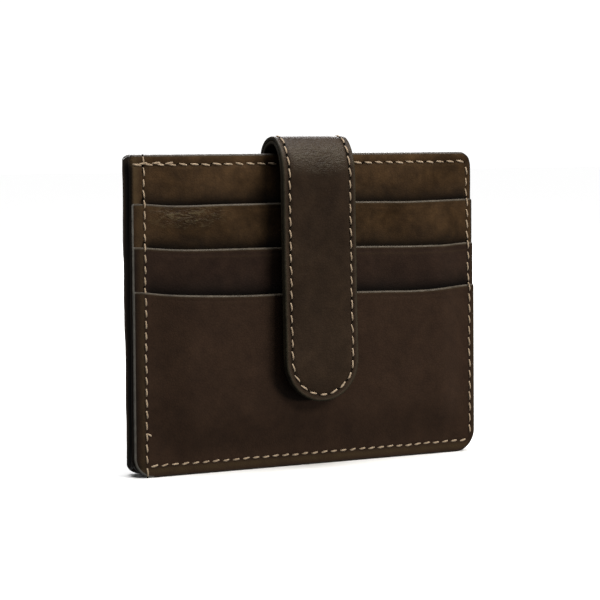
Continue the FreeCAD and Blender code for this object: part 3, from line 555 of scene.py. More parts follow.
def leather(name, dark, light, rough=(0.34, 0.46), grain=1.0, specular=0.20, sheen=0.0, coat=0.03, creases=None, seed=0.0, wear_and_highlight=(0.046, 0.030, 0.0145), mottle=0.8):
    mat, tree, bsdf, obj = node_tree(name)
    shift = tree.nodes.new("ShaderNodeMapping")
    shift.inputs["Location"].default_value = (seed, seed * 0.7, seed * 0.3)
    tree.links.new(obj, shift.inputs["Vector"])
    vec = shift.outputs[0]
    cloud = noise(tree, vec, 55, 4, 0.6, 0.3)
    spots = noise(tree, vec, 310, 3, 0.6)
    fine = noise(tree, vec, 1900, 3, 0.65)
    mid = tuple((a + b) / 2 for a, b in zip(dark, light))
    blotch = noise(tree, vec, 150, 4, 0.65, 0.5)
    colour = ramp(tree, cloud, [(0.28, dark), (0.50, mid), (0.72, light)])
    colour = mix(tree, "MULTIPLY", mottle, colour, ramp(tree, blotch, [(0.32, (0.66, 0.66, 0.68)), (0.68, (1.28, 1.25, 1.20))]))
    colour = mix(tree, "MULTIPLY", mottle, colour, ramp(tree, spots, [(0.3, (0.64, 0.64, 0.66)), (0.7, (1.25, 1.23, 1.17))]))
    cells = voronoi(tree, vec, 1250)
    pores = ramp(tree, cells, [(0.0, (0.62, 0.6, 0.6)), (0.12, (1, 1, 1))])
    colour = mix(tree, "MULTIPLY", 0.45, colour, pores)
    # Lighter where the mesh's lightening layer says: rubbed wear, and painted highlight on pocket lips, the skin's top
    # edge and crest and the strap's turn.
    ragged = math_node(tree, "MULTIPLY", layer(tree, "wear_and_highlight"), remap(tree, spots, 0.25, 0.6, 0.45, 1.0))
    colour = mix(tree, "MIX", ragged, colour, wear_and_highlight)
    # Darker where the mesh's darkening layer says: darker seams, and painted shade above pocket edges and along the
    # fold's side and valley.
    dirt_and_shade = math_node(tree, "MULTIPLY", layer(tree, "grime_and_shade"), remap(tree, cloud, 0.2, 0.6, 0.82, 1.0))
    colour = mix(tree, "MIX", dirt_and_shade, colour, tuple(c * 0.04 for c in dark))
    gloss = remap(tree, noise(tree, vec, 140, 4, 0.6), 0.3, 0.7, rough[0], rough[1])
    tree.links.new(math_node(tree, "ADD", gloss, math_node(tree, "MULTIPLY", dirt_and_shade, 0.5)), bsdf.inputs["Roughness"])
    bsdf.inputs["Specular IOR Level"].default_value = specular
    bsdf.inputs["Coat Weight"].default_value = coat
    bsdf.inputs["Coat Roughness"].default_value = 0.32
    if sheen:
        bsdf.inputs["Sheen Weight"].default_value = sheen
        bsdf.inputs["Sheen Roughness"].default_value = 0.5
    pit = math_node(tree, "ADD", math_node(tree, "MULTIPLY", remap(tree, cells, 0.0, 0.16, 0, 1), 0.55), math_node(tree, "MULTIPLY", fine, 0.7))
    normal = add_bump(tree, pit, 0.00006 * grain, 0.6)
    normal = add_bump(tree, spots, 0.00022 * grain, 0.4, normal)
    if creases is not None:
        centre, size, strength = creases
        sep = tree.nodes.new("ShaderNodeMapping")
        sep.inputs["Location"].default_value = tuple(-c / s for c, s in zip(centre, size))
        sep.inputs["Scale"].default_value = tuple(1 / s for s in size)
        tree.links.new(obj, sep.inputs["Vector"])
        length = tree.nodes.new("ShaderNodeVectorMath")
        length.operation = "LENGTH"
        tree.links.new(sep.outputs[0], length.inputs[0])
        mask = remap(tree, length.outputs["Value"], 0.35, 1.0, 1, 0)
        turn = tree.nodes.new("ShaderNodeMapping")
        turn.inputs["Rotation"].default_value = (0, math.radians(24), 0)
        turn.inputs["Scale"].default_value = (0.6, 1, 1.7)
        tree.links.new(obj, turn.inputs["Vector"])
        lines = noise(tree, turn.outputs[0], 620, 4, 0.62, 1.2)
        height = math_node(tree, "MULTIPLY", lines, mask)
        normal = add_bump(tree, height, 0.00075 * strength, 0.8, normal)
        # Painted highlight: the crease lines are coloured lighter, as if catching light.
        crease_highlight = math_node(tree, "MULTIPLY", mask, remap(tree, lines, 0.50, 0.66, 0.0, 0.5))
        colour = mix(tree, "MIX", crease_highlight, colour, (light[0] * 1.9, light[1] * 2.6, light[2] * 2.9))
    tree.links.new(colour, bsdf.inputs["Base Color"])
    tree.links.new(normal, bsdf.inputs["Normal"])
    return mat


def edge_paint(name, colour, rough=0.38, specular=0.5):
    mat, tree, bsdf, vec = node_tree(name)
    tone = noise(tree, vec, 420, 3, 0.6)
    tree.links.new(ramp(tree, tone, [(0.3, tuple(c * 0.7 for c in colour)), (0.7, tuple(c * 1.35 for c in colour))]), bsdf.inputs["Base Color"])
    tree.links.new(remap(tree, noise(tree, vec, 900, 2), 0.3, 0.7, rough - 0.06, rough + 0.12), bsdf.inputs["Roughness"])
    bsdf.inputs["Specular IOR Level"].default_value = specular
    tree.links.new(add_bump(tree, noise(tree, vec, 1400, 4, 0.6), 0.00008, 0.7), bsdf.inputs["Normal"])
    return mat


def suede(name, dark, light):
    mat, tree, bsdf, vec = node_tree(name)
    tone = noise(tree, vec, 260, 5, 0.7)
    tree.links.new(ramp(tree, tone, [(0.3, dark), (0.7, light)]), bsdf.inputs["Base Color"])
    bsdf.inputs["Roughness"].default_value = 0.88
    bsdf.inputs["Specular IOR Level"].default_value = 0.15
    bsdf.inputs["Sheen Weight"].default_value = 0.12
    bsdf.inputs["Sheen Roughness"].default_value = 0.6
    tree.links.new(add_bump(tree, noise(tree, vec, 2400, 5, 0.7), 0.00015, 0.9), bsdf.inputs["Normal"])
    return mat


def cloth(name, dark, light, pitch=0.00045):
    mat, tree, bsdf, vec = node_tree(name)

    def wave(direction):
        n = tree.nodes.new("ShaderNodeTexWave")
        n.bands_direction = direction
        n.wave_profile = "SIN"
        n.inputs["Scale"].default_value = 1 / (pitch * 20) * 2 * math.pi
        n.inputs["Distortion"].default_value = 0.6
        n.inputs["Detail"].default_value = 1.0
        tree.links.new(vec, n.inputs["Vector"])
        return n.outputs["Fac"]

    weave = math_node(tree, "MULTIPLY", wave("X"), wave("Z"))
    tree.links.new(mix(tree, "MULTIPLY", 0.5, ramp(tree, weave, [(0.0, dark), (0.8, light)]), ramp(tree, noise(tree, vec, 90, 3), [(0.3, (0.7, 0.7, 0.7)), (0.7, (1.1, 1.1, 1.1))])), bsdf.inputs["Base Color"])
    bsdf.inputs["Roughness"].default_value = 0.8
    bsdf.inputs["Specular IOR Level"].default_value = 0.2
    bsdf.inputs["Sheen Weight"].default_value = 0.2
    tree.links.new(add_bump(tree, weave, 0.00008, 0.8), bsdf.inputs["Normal"])
    return mat


def thread_material(name, dark, light):
    mat, tree, bsdf, vec = node_tree(name)
    tone = noise(tree, vec, 700, 3, 0.6)
    fibre = noise(tree, vec, 5200, 3, 0.7)
    colour = mix(tree, "MULTIPLY", 0.5, ramp(tree, tone, [(0.25, dark), (0.75, light)]), ramp(tree, fibre, [(0.3, (0.6, 0.57, 0.52)), (0.65, (1.1, 1.08, 1.05))]))
    tree.links.new(colour, bsdf.inputs["Base Color"])
    bsdf.inputs["Roughness"].default_value = 0.62
    bsdf.inputs["Specular IOR Level"].default_value = 0.3
    bsdf.inputs["Sheen Weight"].default_value = 0.15
    tree.links.new(add_bump(tree, fibre, 0.00008, 0.8), bsdf.inputs["Normal"])
    return mat


def brass(name):
    mat, tree, bsdf, vec = node_tree(name)
    tone = noise(tree, vec, 300, 4, 0.6)
    tree.links.new(ramp(tree, tone, [(0.3, (0.45, 0.30, 0.12)), (0.7, (0.66, 0.47, 0.21))]), bsdf.inputs["Base Color"])
    bsdf.inputs["Metallic"].default_value = 1.0
    tree.links.new(remap(tree, noise(tree, vec, 1100, 4), 0.3, 0.7, 0.22, 0.38), bsdf.inputs["Roughness"])
    tree.links.new(add_bump(tree, noise(tree, vec, 1700, 3), 0.00003, 0.6), bsdf.inputs["Normal"])
    return mat


def magnet_metal(name):
    mat, tree, bsdf, vec = node_tree(name)
    tone = noise(tree, vec, 420, 4, 0.6)
    tree.links.new(ramp(tree, tone, [(0.3, (0.10, 0.10, 0.11)), (0.7, (0.22, 0.22, 0.23))]), bsdf.inputs["Base Color"])
    bsdf.inputs["Metallic"].default_value = 0.8
    tree.links.new(remap(tree, noise(tree, vec, 1500, 4), 0.3, 0.7, 0.35, 0.55), bsdf.inputs["Roughness"])
    return mat


def hole_material(name):
    mat, tree, bsdf, vec = node_tree(name)
    tree.links.new(ramp(tree, noise(tree, vec, 2000, 2), [(0.3, (0.003, 0.002, 0.0015)), (0.7, (0.008, 0.006, 0.004))]), bsdf.inputs["Base Color"])
    bsdf.inputs["Roughness"].default_value = 0.9
    bsdf.inputs["Specular IOR Level"].default_value = 0.05
    return mat


OLIVE_DARK, OLIVE_LIGHT = (0.033, 0.0180, 0.0072), (0.078, 0.0450, 0.0215)
BROWN_DARK, BROWN_LIGHT = (0.0255, 0.0140, 0.0084), (0.046, 0.0258, 0.0152)
PLUM_DARK, PLUM_LIGHT = (0.0205, 0.0115, 0.0080), (0.0355, 0.0207, 0.0140)
m_shell = leather("shell_leather", OLIVE_DARK, OLIVE_LIGHT, seed=0.11, wear_and_highlight=(0.078, 0.052, 0.026))
m_pocket1 = leather("pocket_leather_upper", OLIVE_DARK, OLIVE_LIGHT, seed=0.23, creases=((-0.0352, -0.0035, 0.0668), (0.0135, 0.02, 0.0042), 0.9))
m_pocket2 = leather("pocket_leather_middle", PLUM_DARK, PLUM_LIGHT, seed=0.37, mottle=0.45)
m_pocket3 = leather("pocket_leather_lower", (0.0285, 0.0160, 0.0099), (0.0365, 0.0208, 0.0129), seed=0.51, mottle=0.35)
m_back = leather("pocket_leather_back", (0.031, 0.0175, 0.0095), (0.056, 0.0330, 0.0185), seed=0.63, mottle=0.5)
m_tab = leather("tab_leather", (0.0212, 0.0130, 0.0080), (0.0365, 0.0232, 0.0143), seed=0.77, specular=0.19, coat=0.0, mottle=0.4, wear_and_highlight=(0.056, 0.043, 0.030), creases=((0.0, -0.0070, 0.0812), (0.012, 0.03, 0.0055), 0.7))
m_under = leather("under_leather", (0.020, 0.013, 0.009), (0.034, 0.023, 0.015), rough=(0.55, 0.7), coat=0.0, seed=0.91)
m_edge = edge_paint("edge_paint", (0.020, 0.014, 0.009))
m_edge_pocket = edge_paint("edge_paint_pocket", (0.067, 0.054, 0.039), rough=0.45, specular=0.3)
m_edge_pale = edge_paint("edge_paint_pale", (0.105, 0.097, 0.083), rough=0.36)
m_edge_tab = edge_paint("edge_paint_tab", (0.030, 0.0245, 0.0145), rough=0.5, specular=0.25)
m_flesh = suede("leather_inside", (0.030, 0.020, 0.013), (0.060, 0.042, 0.028))
m_cloth = cloth("pocket_cloth", (0.012, 0.009, 0.007), (0.030, 0.024, 0.019))
m_lining = cloth("pocket_lining", (0.010, 0.008, 0.007), (0.028, 0.022, 0.018), 0.0004)
m_thread = thread_material("thread", (0.30, 0.215, 0.138), (0.50, 0.390, 0.272))
m_hole = hole_material("needle_hole")
m_brass = brass("snap_metal")
m_magnet = magnet_metal("magnet")


def assign(node, material):
    mesh = nodes[node].data
    mesh.materials.clear()
    mesh.materials.append(material)
    mesh.polygons.foreach_set("material_index", [0] * len(mesh.polygons))


for name in ("snap_stud", "snap_stud_washer", "snap_socket_case", "snap_socket_base", "snap_socket_washer"):
    assign(name, m_brass)
assign("snap_magnet", m_magnet)

# ---------------------------------------------------------------- folded skin
seams_s = [front_s(49.65), front_s(-47.6), back_s(-47.6), back_s(49.65)]
shell = sheet_mesh(
    "shell_skin",
    (0, PATH_END),
    (0, 82.5),
    (6, 6, 3.5, 3.5),
    1.3,
    0.5,
    skin_place,
    skin_relief,
    [m_shell, m_edge, m_flesh],
    step=1.0,
    fine_u=seams_s + [CREST_S - 1.2, CREST_S + 0.5, VALLEY_S, RIM_S - 0.5, RIM_S + 1.2],
    fine_v=(3.0, 69.9, 79.9),
    fine_step=0.3,
    wear_and_highlight=skin_wear_and_highlight,
    grime_and_shade=skin_shade_and_grime,
)
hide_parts("outer_shell")
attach(shell, "case")

# ---------------------------------------------------------------- lining of the centre pocket
(lf0, lf1), (lb0, lb1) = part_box("lining_front"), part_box("lining_back")
LINING_TOP = (lf1[2] / MM) - 0.15


def lining_wave(x, v):
    return 0.05 * waves(x, v, 91, 28) * smooth(v, 3, 12) * (1 - smooth(v, LINING_TOP - 3, LINING_TOP)) * (1 - smooth(x, 40, 48))


def lining_front_place(x, v, n):
    return x, -0.73 - n + np.abs(lining_wave(x, v)), v


def lining_back_place(s, v, n):
    """The back lining is thick along the foot and the right edge, where its rims are folded over and close the pocket."""
    x = np.interp(s, PATH_S, PATH_X)
    rim = np.maximum(smooth(x, 47.6, 48.8), 1 - smooth(v, 2.0, 3.2))
    gap = np.interp(s, PATH_S, PATH_Y) - 1.32 + 0.46
    px, py = path_point(s, -1.32 + n * (1 + (gap / 0.28 - 1) * rim))
    return px, py - np.abs(lining_wave(x, v)), v


no_relief = lambda x, v: np.zeros(np.broadcast(x, v).shape)
LINING_X = (lf0[0] / MM + 0.2, lf1[0] / MM - 0.15)
LINING_S = (float(back_s(-47.9)), PATH_END - 0.15)
for name, node, span, place in (
    ("lining_sheet_front", "lining_front", LINING_X, lining_front_place),
    ("lining_sheet_back", "lining_back", LINING_S, lining_back_place),
):
    lining = sheet_mesh(
        name, span, (0.25, LINING_TOP), (0.5, 6, 0.5, 3.5) if "front" in name else (2, 6, 0.5, 3.5), 0.28, 0.12, place, no_relief, [m_lining], step=1.6,
        fine_u=(span[1] - 3.0,), fine_v=(2.6,), fine_step=0.5, arcs=3,
    )
    lining.data.polygons.foreach_set("material_index", [0] * len(lining.data.polygons))
    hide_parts(node)
    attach(lining, "case")

# ---------------------------------------------------------------- card pockets and their cloth
for k, (yf, yb, height, seed) in enumerate(POCKETS):
    mats = [(m_pocket1, m_pocket2, m_pocket3)[k], m_edge_pocket, m_flesh, m_edge, m_edge_pale]
    panel = sheet_mesh(
        f"pocket_panel_{k + 1}",
        (-50.65, 51.25),
        (0, height),
        (5, 6, 0.6, 0.6),
        yb - yf,
        0.46,
        pocket_place(k, yf),
        pocket_relief(k),
        mats,
        step=1.1,
        fine_u=(-47.4, 49.65),
        fine_v=(3.0, height - 1.3) + ((POCKETS[k + 1][2] + 0.6,) if k < 2 else ()),
        fine_step=0.28,
        wear_and_highlight=pocket_wear_and_highlight(k),
        grime_and_shade=pocket_shade_and_grime(k),
    )
    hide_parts(f"card_pocket_{k + 1}")
    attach(panel, "case")
    backing = sheet_mesh(
        f"pocket_backing_{k + 1}",
        (-50.1, 50.9),
        (0.35, height - 1.2),
        (5, 6, 0.6, 0.6),
        0.18,
        0.08,
        pocket_place(k, yb + 0.01),
        lambda x, v: np.zeros(np.broadcast(x, v).shape),
        [m_cloth],
        step=2.2,
        arcs=2,
    )
    backing.data.polygons.foreach_set("material_index", [0] * len(backing.data.polygons))
    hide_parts(f"pocket_cloth_{k + 1}")
    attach(backing, "case")

# ---------------------------------------------------------------- pocket on the back
BACK_U = (float(back_s(-48.2)), PATH_END)


def back_swell(s, v):
    x = np.interp(s, PATH_S, PATH_X)
    return 0.62 + 0.38 * smooth(x, -46, -36) * (1 - smooth(x, 40, 49)) * smooth(v, 3.5, 14)


def back_place(offset):
    def place(s, v, n):
        z = v - 0.45 * smooth(v, 30, 52) * bump(np.interp(s, PATH_S, PATH_X), 4, 34)
        x, y = path_point(s, (offset + n) * back_swell(s, v))
        return x, y, z

    return place


def back_relief(s, v):
    x = np.interp(s, PATH_S, PATH_X)
    seam = bump(x, -46.6, 0.5) + bump(x, 49.65, 0.5) + bump(v, 3.0, 0.5)
    crease = bump(v, 52 - 1.35, 0.28)
    body = 0.06 * waves(s, v, 31, 24) + 0.02 * waves(s, v, 32, 8)
    return -0.2 * np.clip(seam, 0, 1) - 0.05 * crease + body * smooth(v, 2, 6)


back_panel = sheet_mesh(
    "back_pocket_panel", BACK_U, (0, 52), (5, 6, 0.6, 0.6), 1.3, 0.46, back_place(1.5), back_relief,
    [m_back, m_edge_pocket, m_flesh], step=1.2, fine_u=(float(back_s(-46.6)), float(back_s(49.65))), fine_v=(3.0, 50.7), fine_step=0.3,
)
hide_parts("back_pocket")
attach(back_panel, "case")
back_cloth = sheet_mesh(
    "back_pocket_backing", (BACK_U[0] + 0.4, BACK_U[1] - 0.35), (0.35, 50.8), (5, 6, 0.6, 0.6), 0.16, 0.07, back_place(0.18),
    lambda s, v: np.zeros(np.broadcast(s, v).shape), [m_cloth], step=2.4, arcs=2,
)
back_cloth.data.polygons.foreach_set("material_index", [0] * len(back_cloth.data.polygons))
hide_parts("back_pocket_cloth")
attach(back_cloth, "case")

# ---------------------------------------------------------------- closing tab
ARCH_Y, ARCH_Z, ARCH_A, ARCH_B = -2.38, 81.2, 5.65, 4.75
FRONT_DROP = 10.5
LEAN = math.radians(1.5)


def tab_path():
    """The seam between the tab's two plies, from the foot of the tail up the back, over the top and down the front to the tip."""
    pts = [(3.05, 58.0), (3.05, 74.5), (3.10, 76.5), (3.22, 78.3), (3.27, 80.0)]
    for a in np.linspace(0, 90, 30):
        r = math.radians(a)
        pts.append((ARCH_Y + ARCH_A * math.cos(r), ARCH_Z + ARCH_B * math.sin(r)))
    for a in np.linspace(90, 180 - 2.5, 40)[1:]:
        r = math.radians(a)
        pts.append((ARCH_Y + (ARCH_A + 0.1) * math.cos(r), ARCH_Z + ARCH_B - FRONT_DROP + FRONT_DROP * math.sin(r)))
    y, z = pts[-1]
    for f in np.linspace(0, 1, 40)[1:]:
        d = f * (z - 17.5) / math.cos(LEAN)
        sag = 0.22 * math.sin(math.pi * f)
        pts.append((y - d * math.sin(LEAN) + sag, z - d * math.cos(LEAN)))
    pts = np.array(pts)
    seg = np.hypot(*np.diff(pts, axis=0).T)
    s = np.concatenate([[0], np.cumsum(seg)])
    fine = np.arange(0, s[-1], 0.1)
    fine[-1] = s[-1]
    y, z = np.interp(fine, s, pts[:, 0]), np.interp(fine, s, pts[:, 1])
    kernel = np.hanning(15) / np.hanning(15).sum()
    pad = lambda q: np.convolve(np.concatenate([2 * q[0] - q[7:0:-1], q, 2 * q[-1] - q[-2:-9:-1]]), kernel, "valid")
    y, z = pad(y), pad(z)
    dy, dz = np.gradient(y), np.gradient(z)
    length = np.hypot(dy, dz)
    return fine, y, z, dz / length, -dy / length


TAB_S, TAB_Y, TAB_Z, TAB_NY, TAB_NZ = tab_path()
TAB_END = float(TAB_S[-1])
# the tail and the arch meet on the back of the arch, where the bend line's turn is complete
SPLIT_S = float(TAB_S[np.argmax(TAB_Z > 84.2)])
TAIL_TOP_S = float(TAB_S[np.argmax(TAB_Z > 78.0)])


def tab_point(x, s, n):
    y, z = np.interp(s, TAB_S, TAB_Y), np.interp(s, TAB_S, TAB_Z)
    ny, nz = np.interp(s, TAB_S, TAB_NY), np.interp(s, TAB_S, TAB_NZ)
    return x, y + ny * n, z + nz * n


def tab_seam_distance(x, s):
    """How far a point is from the row of stitches, which runs 1.75 in from the sides and round the tip."""
    x, s = np.asarray(x, float), np.asarray(s, float)
    centre = TAB_END - 10.75
    radial = np.hypot(x, np.maximum(s - centre, 0))
    side = np.abs(np.abs(x) - 9.0)
    return np.where(s > centre, np.abs(radial - 9.0), side)


def tab_crown(x, s):
    centre = TAB_END - 10.75
    radial = np.where(s > centre, np.hypot(x, s - centre), np.abs(x))
    return 1 - smooth(radial, 5.5, 10.6)


def tab_outer_relief(x, s):
    groove = np.exp(-((tab_seam_distance(x, s) / 0.5) ** 2)) * smooth(s, TAIL_TOP_S + 2, TAIL_TOP_S + 5)
    box = np.exp(-(((np.abs(x) - 9.0) / 0.5) ** 2)) * (s < TAIL_TOP_S + 1)
    body = 0.04 * waves(x, s, 71, 17) + 0.02 * waves(x, s, 72, 6)
    return 0.16 * tab_crown(x, s) - 0.2 * np.clip(groove + box, 0, 1) + body - 0.1


def tab_lining_relief(x, s):
    groove = np.exp(-((tab_seam_distance(x, s) / 0.45) ** 2))
    return 0.0 * x - 0.12 * groove


def tab_wear_and_highlight(x, s):
    centre = TAB_END - 10.75
    radial = np.where(s > centre, np.hypot(x, s - centre), np.abs(x))
    # the strap is paler where it turns down over the top: rubbed wear and a painted highlight
    turn = bump(np.interp(s, TAB_S, TAB_Z), 81.6, 3.0) * (1 - smooth(np.interp(s, TAB_S, TAB_Y), -5.0, -3.5)) * (1 - smooth(np.abs(x), 7.0, 9.0))
    return np.maximum(0.7 * smooth(radial, 9.5, 10.5), 0.75 * turn)


def tab_grime(x, s):
    return 0.4 * np.exp(-((tab_seam_distance(x, s) / 0.42) ** 2))


def tab_outer_place(x, s, n):
    return tab_point(x, s, 1.15 + n)


def tab_under_place(x, s, n):
    return tab_point(x, s, -0.98 - n)


tab_top = sheet_mesh(
    "tab_top", (-10.75, 10.75), (SPLIT_S, TAB_END), (0.05, 0.05, 10.6, 10.6), 1.13, 0.42, tab_outer_place, tab_outer_relief,
    [m_tab, m_edge_tab, m_under], step=0.8, fine_u=(-9, 9), fine_v=(TAB_END - 1.75,), fine_step=0.28, wear_and_highlight=tab_wear_and_highlight, grime_and_shade=tab_grime,
)
tab_below = sheet_mesh(
    "tab_underside", (-10.75, 10.75), (SPLIT_S, TAB_END), (0.05, 0.05, 10.6, 10.6), 0.96, 0.36, tab_under_place, tab_lining_relief,
    [m_under, m_edge_tab, m_under], step=0.9, fine_u=(-9, 9), fine_step=0.3,
)
for piece, node, slot in ((tab_top, "tab_outer", "tab_leather"), (tab_below, "tab_lining", "under_leather")):
    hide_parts(node)
    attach(piece, "tab")

tail_top = sheet_mesh(
    "tab_tail_top", (-10.75, 10.75), (0, SPLIT_S + 0.45), (2.5, 2.5, 0.05, 0.05), 1.13, 0.42, tab_outer_place, tab_outer_relief,
    [m_tab, m_edge_tab, m_under], step=0.8, fine_u=(-9, 9), fine_v=(1.75, 18.25), fine_step=0.3, wear_and_highlight=tab_wear_and_highlight,
)
tail_below = sheet_mesh(
    "tab_tail_underside", (-10.75, 10.75), (0, SPLIT_S + 0.45), (2.5, 2.5, 0.05, 0.05), 0.96, 0.36, tab_under_place, tab_lining_relief,
    [m_under, m_edge_tab, m_under], step=0.9, fine_u=(-9, 9), fine_step=0.3,
)
for piece, node, slot in ((tail_top, "tab_anchor_outer", "tab_leather"), (tail_below, "tab_anchor_lining", "under_leather")):
    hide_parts(node)
    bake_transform(piece)


# ---------------------------------------------------------------- stitches
def stitch_mesh(name, rows):
    """Each row is a list of (centre, along, normal, length, slant, extra lift). A stitch is a short two-ply thread that dives into the leather at both ends."""
    around, steps = 10, 13
    verts, faces, index = [], [], []
    base = 0
    ang = np.linspace(0, 2 * math.pi, around, endpoint=False)
    for centre, along, normal, length, slant, lift in rows:
        c, t, n = (np.asarray(q, float) for q in (centre, along, normal))
        n = n / np.linalg.norm(n)
        t = t - n * (t @ n)
        t = t / np.linalg.norm(t)
        b = np.cross(n, t)
        t, b = t * math.cos(slant) + b * math.sin(slant), b * math.cos(slant) - t * math.sin(slant)
        for i, s in enumerate(np.linspace(-1, 1, steps)):
            h = 0.19 * (1 - abs(s) ** 2.6) - 0.17 * abs(s) ** 3 + lift
            size = 1 - 0.32 * abs(s) ** 5
            twist = 2.4 * s
            lobes = 1 + 0.13 * np.cos(2 * (ang - twist))
            p = c + t * (s * length / 2) + n * h
            ring = p + np.outer(np.cos(ang) * 0.245 * size * lobes, b) + np.outer(np.sin(ang) * 0.20 * size * lobes, n)
            verts.append(ring)
            if i:
                for k in range(around):
                    a0, a1 = base + (i - 1) * around + k, base + (i - 1) * around + (k + 1) % around
                    faces.append((a0, a1, a1 + around, a0 + around))
                    index.append(0)
        faces.append(tuple(base + k for k in range(around))[::-1])
        faces.append(tuple(base + (steps - 1) * around + k for k in range(around)))
        index += [0, 0]
        base += around * steps
        for end in (-1, 1):
            p = c + t * (end * (length / 2 + 0.12)) + n * 0.0
            ring = p + np.outer(np.cos(ang) * 0.40, t) + np.outer(np.sin(ang) * 0.31, b)
            verts.append(ring - n * 0.09)
            verts.append(p + (ring - p) * 0.6 + n * 0.035)
            verts.append(np.array([p + n * 0.05, p - n * 0.12]))
            for k in range(around):
                k1 = (k + 1) % around
                faces.append((base + k, base + k1, base + around + k1, base + around + k))
                faces.append((base + around + k, base + around + k1, base + 2 * around))
                faces.append((base + k1, base + k, base + 2 * around + 1))
                index += [1, 1, 1]
            base += 2 * around + 2
    return mesh_object(name, np.concatenate(verts) * MM, faces, [m_thread, m_hole], index)


def run(point, normal, params, pitch=3.2, length=2.05, seed=1, slant=0.10, lift=0.0, start=0.5):
    """Stitches along a curve point(p): evenly spaced by length, each a little different."""
    rng = np.random.default_rng(seed)
    p = np.linspace(params[0], params[1], 1200)
    line = np.stack([np.broadcast_to(np.asarray(q, float), p.shape) for q in point(p)], 1)
    s = np.concatenate([[0], np.cumsum(np.linalg.norm(np.diff(line, axis=0), axis=1))])
    count = max(1, int(round(s[-1] / pitch)))
    actual = s[-1] / count
    rows = []
    for i in range(count):
        at = (i + start) * actual
        if at > s[-1]:
            break
        here = np.array([np.interp(at, s, line[:, k]) for k in range(3)])
        a = np.array([np.interp(max(at - 0.8, 0), s, line[:, k]) for k in range(3)])
        c = np.array([np.interp(min(at + 0.8, s[-1]), s, line[:, k]) for k in range(3)])
        n = normal(np.interp(at, s, p))
        side = np.cross(n, c - a)
        side = side / np.linalg.norm(side)
        here = here + side * rng.normal(0, 0.05)
        rows.append((here, c - a, n, length * rng.uniform(0.93, 1.06), slant + rng.normal(0, 0.045), lift + rng.uniform(-0.03, 0.03)))
    return rows


SINK = 0.13
fwd = lambda p: (0, -1, 0)


def on_front(x, z):
    x, z = np.broadcast_arrays(np.asarray(x, float), np.asarray(z, float))
    return x, front_y(x, z) + SINK, z


front_rows = []
front_rows += run(lambda p: on_front(p, 79.9), fwd, (-50.6, 49.4), seed=1, slant=-0.13, pitch=3.25, length=2.6)
front_rows += run(lambda p: on_front(p, 80.25), fwd, (-49.4, -38.6), seed=2, slant=0.14, start=0.6, lift=0.07, length=2.45)
front_rows += run(lambda p: on_front(49.65, p), fwd, (78.8, 4.6), seed=3, slant=0.12, pitch=3.08, length=2.45)
front_rows += run(lambda p: on_front(p, 3.0), fwd, (48.9, -47.0), seed=4, slant=0.17, pitch=2.9, length=2.15)


def on_back(x, z):
    x, z = np.broadcast_arrays(np.asarray(x, float), np.asarray(z, float))
    s = back_s(x)
    swell = np.where(z < 52, 1.5 * back_swell(s, z), 0.0)
    px, py = path_point(s, swell - SINK)
    return px, py, z


def back_normal(x):
    s = back_s(x)
    return (float(np.interp(s, PATH_S, PATH_NX)), float(np.interp(s, PATH_S, PATH_NY)), 0)


back_rows = []
back_rows += run(lambda p: on_back(p, 79.9), back_normal, (-47.0, -11.2), seed=5, slant=0.12)
back_rows += run(lambda p: on_back(p, 79.9), back_normal, (11.2, 49.4), seed=6, slant=0.12)
back_rows += run(lambda p: on_back(49.65, p), lambda p: (0, 1, 0), (78.6, 4.8), seed=7, slant=0.10)
back_rows += run(lambda p: on_back(p, 3.0), back_normal, (48.9, -46.2), seed=8, slant=-0.17)
perimeter = stitch_mesh("stitches_perimeter", front_rows + back_rows)
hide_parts("thread_perimeter")
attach(perimeter, "case")

fold_rows = run(lambda p: on_front(fold_line(p), p), fwd, (82.45, 3.3), seed=9, slant=0.10, pitch=2.85, length=2.25)
fold_rows += run(lambda p: on_front(-47.5, p), fwd, (2.9, 0.15), seed=19, slant=0.04, pitch=2.9, length=2.3)
px, py, pz = (float(q) for q in on_front(-46.9, 11.0))
fold_rows.append(((px, py, pz), (0, 0, -1), (0, -1, 0), 1.35, 1.05, 0.12))
fold_rows += run(lambda p: on_back(-46.6, p), lambda p: back_normal(-46.6), (78.6, 3.6), seed=10, slant=0.10)
fold = stitch_mesh("stitches_fold", fold_rows)
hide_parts("thread_fold_seam")
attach(fold, "case")


def tab_line(side):
    def point(s):
        s = np.asarray(s, float)
        return tab_point(np.full(s.shape, 9.0 * side), s, 1.15 - 0.1 - SINK)

    return point


def tab_normal(s):
    return (0, float(np.interp(s, TAB_S, TAB_NY)), float(np.interp(s, TAB_S, TAB_NZ)))


def tab_tip(a):
    a = np.asarray(a, float)
    s = TAB_END - 10.75 + 9.0 * np.sin(a)
    return tab_point(9.0 * np.cos(a), s, 1.15 - 0.1 - SINK)


tab_rows = run(tab_line(-1), tab_normal, (SPLIT_S + 0.5, TAB_END - 10.75), seed=12, slant=0.1, pitch=3.15, length=2.4)
tab_rows += run(tab_tip, lambda a: tab_normal(TAB_END - 6), (math.pi, 0), seed=13, slant=0.1, pitch=3.1, length=2.3)
tab_rows += run(tab_line(1), tab_normal, (TAB_END - 10.75, SPLIT_S + 0.5), seed=14, slant=0.1, pitch=3.2, length=2.45)
tab_thread = stitch_mesh("stitches_tab", tab_rows)
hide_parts("thread_tab")
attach(tab_thread, "tab")

tail_rows = run(tab_line(-1), tab_normal, (1.75, SPLIT_S + 0.3), seed=15, slant=0.1, pitch=3.1)
tail_rows += run(tab_line(1), tab_normal, (SPLIT_S + 0.3, 1.75), seed=16, slant=0.1, pitch=3.1)
for level, seed in ((1.75, 17), (18.25, 18)):
    tail_rows += run(lambda x, level=level: tab_point(x, np.full(np.shape(x), level), 1.15 - 0.1 - SINK), lambda x: (0, 1, 0), (-8.4, 8.4), seed=seed, slant=0.1, pitch=3.1)
tail_thread = stitch_mesh("stitches_tail", tail_rows)
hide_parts("thread_anchor")
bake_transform(tail_thread)

